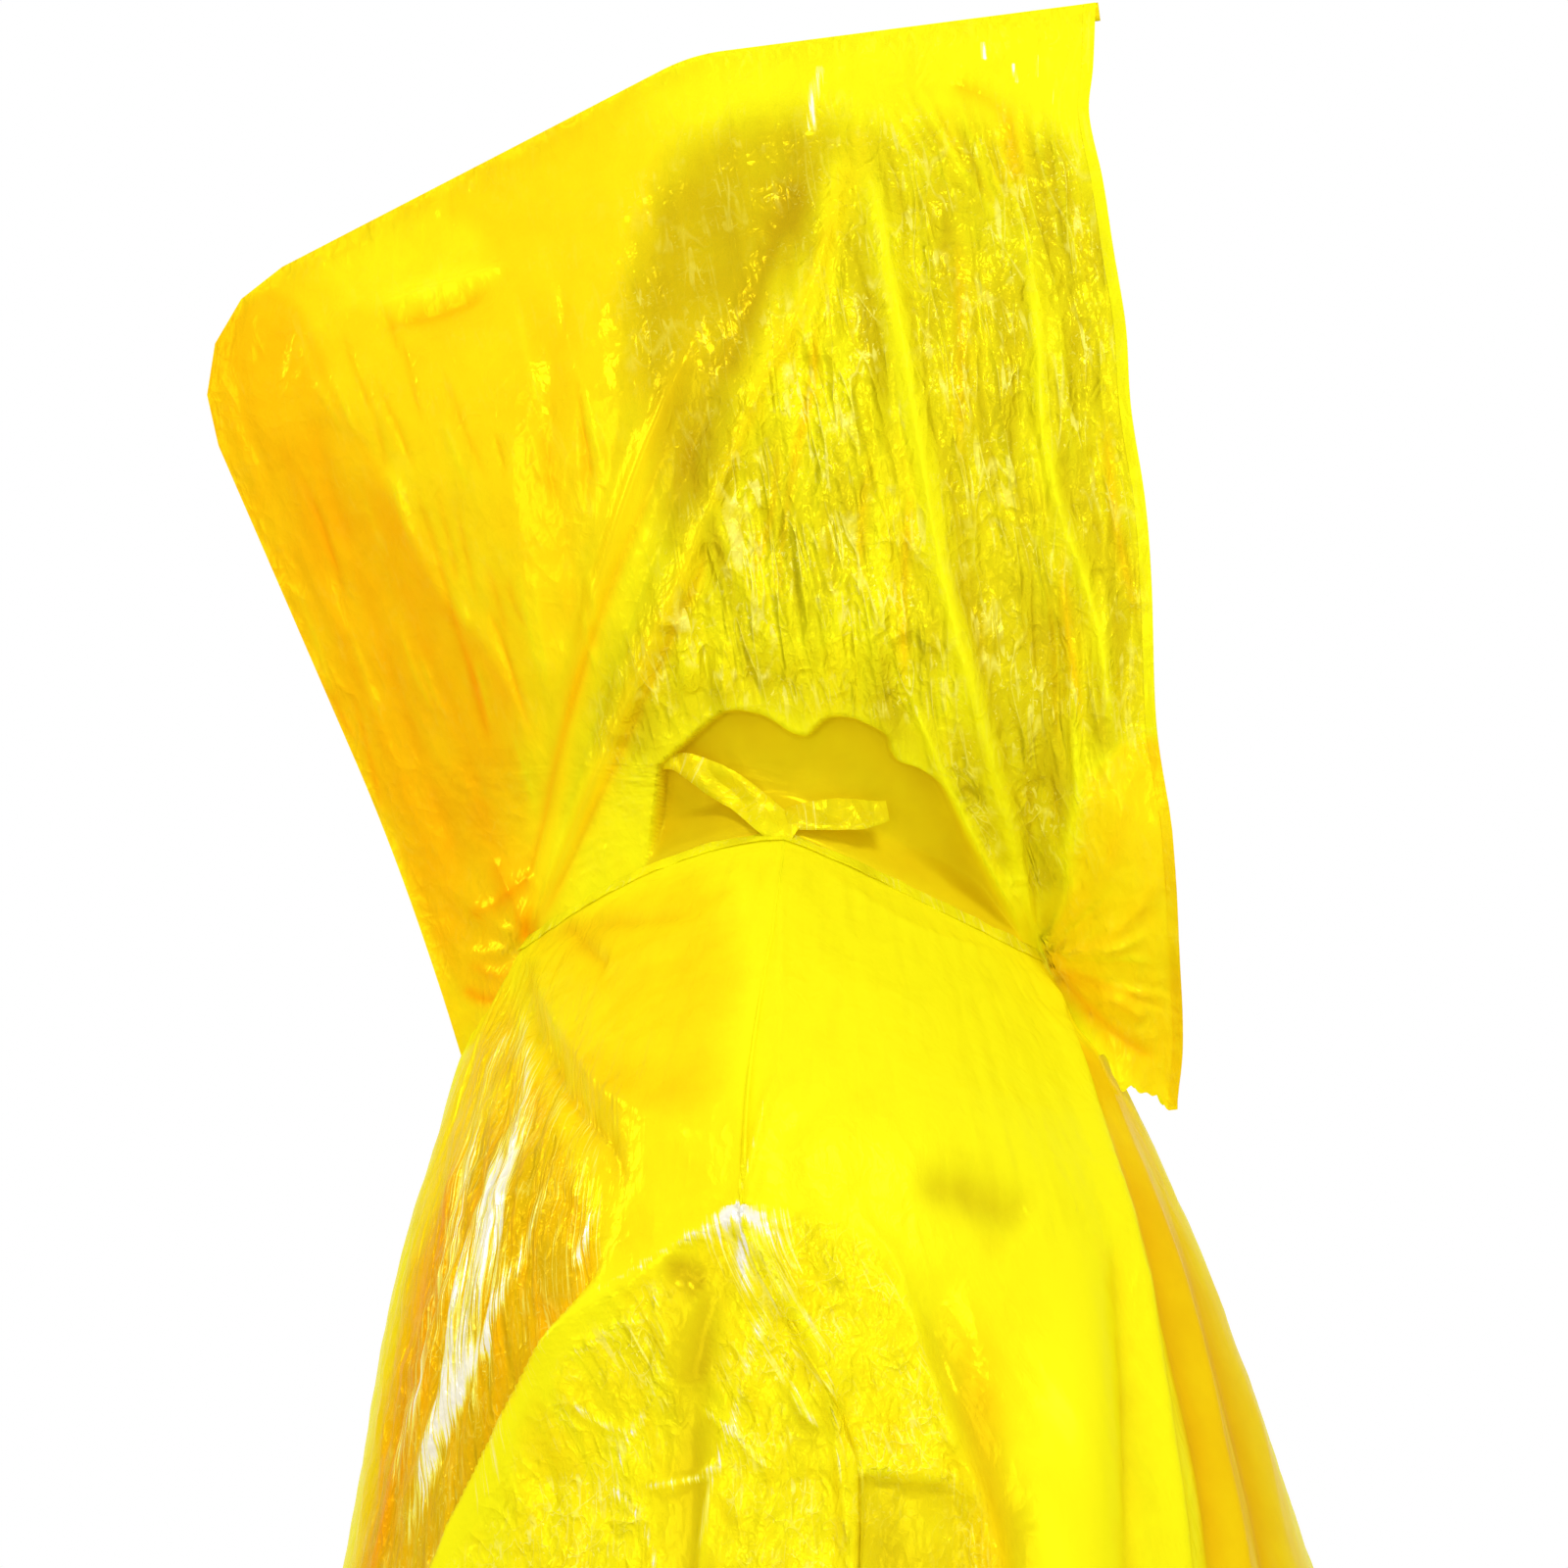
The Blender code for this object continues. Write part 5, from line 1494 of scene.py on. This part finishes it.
def arm_band(name, hand, first, last, replaced, material):
    """The narrow weld that joins the cape's front and back sheets along the shoulder or the side."""

    def place(across, up):
        down = mixed(last, first, up)
        turn = across * 2 - 1
        squares = SIDE_PATH(down)[..., 0] ** 2 + FRONT_PATH(down)[..., 0] ** 2
        ring = 1.15 * math.pi / 2 * np.sqrt(squares / 2)
        edge = hand * (1 - np.abs(turn) * SHOULDER_BAND_HALF_WIDTH / ring)
        front, tones = cape_surface(1, edge, down)
        back, _ = cape_surface(-1, edge, down)
        points = np.where((turn < 0)[..., None], front, back)
        points[:, 2] = (front[:, 2] + back[:, 2]) / 2
        return points, tones

    rows = int((last - first) * 700)
    band = solid_band(name, 4, rows, place, IN_CAPE, material)
    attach(band, "cape")
    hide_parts(replaced)


def seam_fin(name, first, last, replaced, material):
    """The welded fin between the two hood films along part of the crown and back seam."""

    def place(across, up):
        share = mixed(first, last, across)
        ahead = SEAM_LINE(share + 0.004) - SEAM_LINE(share - 0.004)
        inwards = np.stack((-ahead[..., 1], ahead[..., 0]), axis=-1)
        inwards /= np.linalg.norm(inwards, axis=-1, keepdims=True)
        flat = SEAM_LINE(share) + inwards * (FIN_WIDTH * up)[..., None]
        waves = np.sin(across * (last - first) * SEAM_LINE.length / FIN_CRIMP_STEP * math.pi)
        crimp = FIN_CRIMP * waves * smoothstep(up - 0.2)
        points = np.stack((crimp, -flat[..., 0], flat[..., 1]), axis=-1)
        return points, plain_tones(across, up, (0.30, FIN_WIDTH), amber=0.2, crush=0.3)

    columns = max(12, int((last - first) * SEAM_LINE.length / FIN_COLUMN))
    fin = film_mesh(name, columns, 3, place, IN_HOOD)
    thickness = fin.modifiers.new("wall", "SOLIDIFY")
    thickness.thickness = FIN_WALL
    thickness.offset = 0.0
    fin.data.materials.append(material)
    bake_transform(fin)
    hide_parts(replaced)


# Loose ends of the neck's selvedge in the hollow under the hood's lobe, as their painted shade and a line of
# (forward, up, half-width) in millimetres
LOOSE_ENDS = {
    "long": (0.06, [(-41, 56.5, 0.8), (-35, 58.0, 3.6), (-28, 55.5, 5.2), (-16, 48.5, 5.2),
                    (-6, 40.5, 5.2), (3, 34.0, 4.6)]),
    "short": (0.26, [(1, 39.5, 3.2), (8, 40.5, 4.4), (17, 41, 5.0), (26, 41, 4.6), (33, 42, 3.0)]),
}
LOOSE_END_WALL = 0.0003


def loose_end(name, line, hand, shade, material):
    """A flat folded strip of film at the neck's seam."""
    line = np.array(line, float) * MM
    centre = curved_run(line[:, :2])

    def place(across, up):
        middle = centre(across)
        ahead = centre(across + 0.02) - centre(across - 0.02)
        beside = np.stack((-ahead[..., 1], ahead[..., 0]), axis=-1)
        beside /= np.linalg.norm(beside, axis=-1, keepdims=True)
        half = np.interp(across, np.linspace(0, 1, len(line)), line[:, 2])
        flat = middle + beside * ((up * 2 - 1) * half)[..., None]
        side = hood_side(flat)[0] - 0.0075 * smoothstep((flat[..., 1] - 0.034) / 0.012)
        crossing = np.stack((flat[..., 0], flat[..., 1], up * 0), axis=-1).reshape(-1, 3)
        facets = 0.0009 * crumple(crossing, 0.009, 91, 5).reshape(across.shape)
        tucked = 0.0010 * (1 - np.abs(up * 2 - 1) ** 4)
        points = np.stack((hand * (side + facets + tucked + 0.002), -flat[..., 0], flat[..., 1]), axis=-1)
        tones = plain_tones(across, up, (0.05, 0.01), shade=shade, amber=0.12, crush=0.55)
        # painted glints on the strip's first half
        tones["gloss"] = 0.45 * smoothstep((0.5 - across) / 0.3) * smoothstep(across / 0.1)
        return points, tones

    strip = solid_band(name, 60, 16, place, IN_HOOD, material, wall=LOOSE_END_WALL)
    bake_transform(strip)


def build_pieces(film, weld):
    for hand, side in SIDES.items():
        neck_band(hand, weld)
        arm_band(f"shoulder_seam_{side}", hand, SHOULDER_BAND_START, ARMHOLE_START,
                 f"shoulder_weld_{side}", weld)
        arm_band(f"side_seam_{side}", hand, ARMHOLE_END, 1.0, f"side_weld_{side}", weld)
    corner = CROWN_LINE.length / SEAM_LINE.length
    split = corner + back_share(GATHER_TOP) * (1 - corner)
    seam_fin("crown_seam", 0.0, corner - FIN_GAP, "crown_weld", weld)
    seam_fin("back_seam", corner + FIN_GAP, split - FIN_GAP, "back_weld", weld)
    seam_fin("nape_seam", split + FIN_GAP, 1.0, "nape_weld", weld)
    for hand, side in SIDES.items():
        hood_film(hand, film)
        rim_band(hand, weld)
        for length, (shade, line) in LOOSE_ENDS.items():
            loose_end(f"{length}_loose_end_{side}", line, hand, shade, weld)
    cape_film("cape_film_front", 1, ("body_front_sheet",), film)
    cape_film("cape_film_back", -1, ("body_back_sheet",), film)


def main():
    scene = bpy.context.scene
    scene.view_settings.view_transform = "Standard"
    crinkles = film_crinkles()
    film = glossy_film("yellow film", crinkles, FILM_BUMP)
    weld = glossy_film("welded film", crinkles, WELD_BUMP)
    build_pieces(film, weld)
    pale_backdrop()
    pale_floor()
    softbox("key", (-2.1, -0.9, 2.3), 0.8, 48.0)
    softbox("fill", (-3.0, 0.6, 0.6), 1.4, 20.0)
    softbox("back", (0.6, 2.6, 1.2), 0.8, 24.0)
    side_camera()


main()
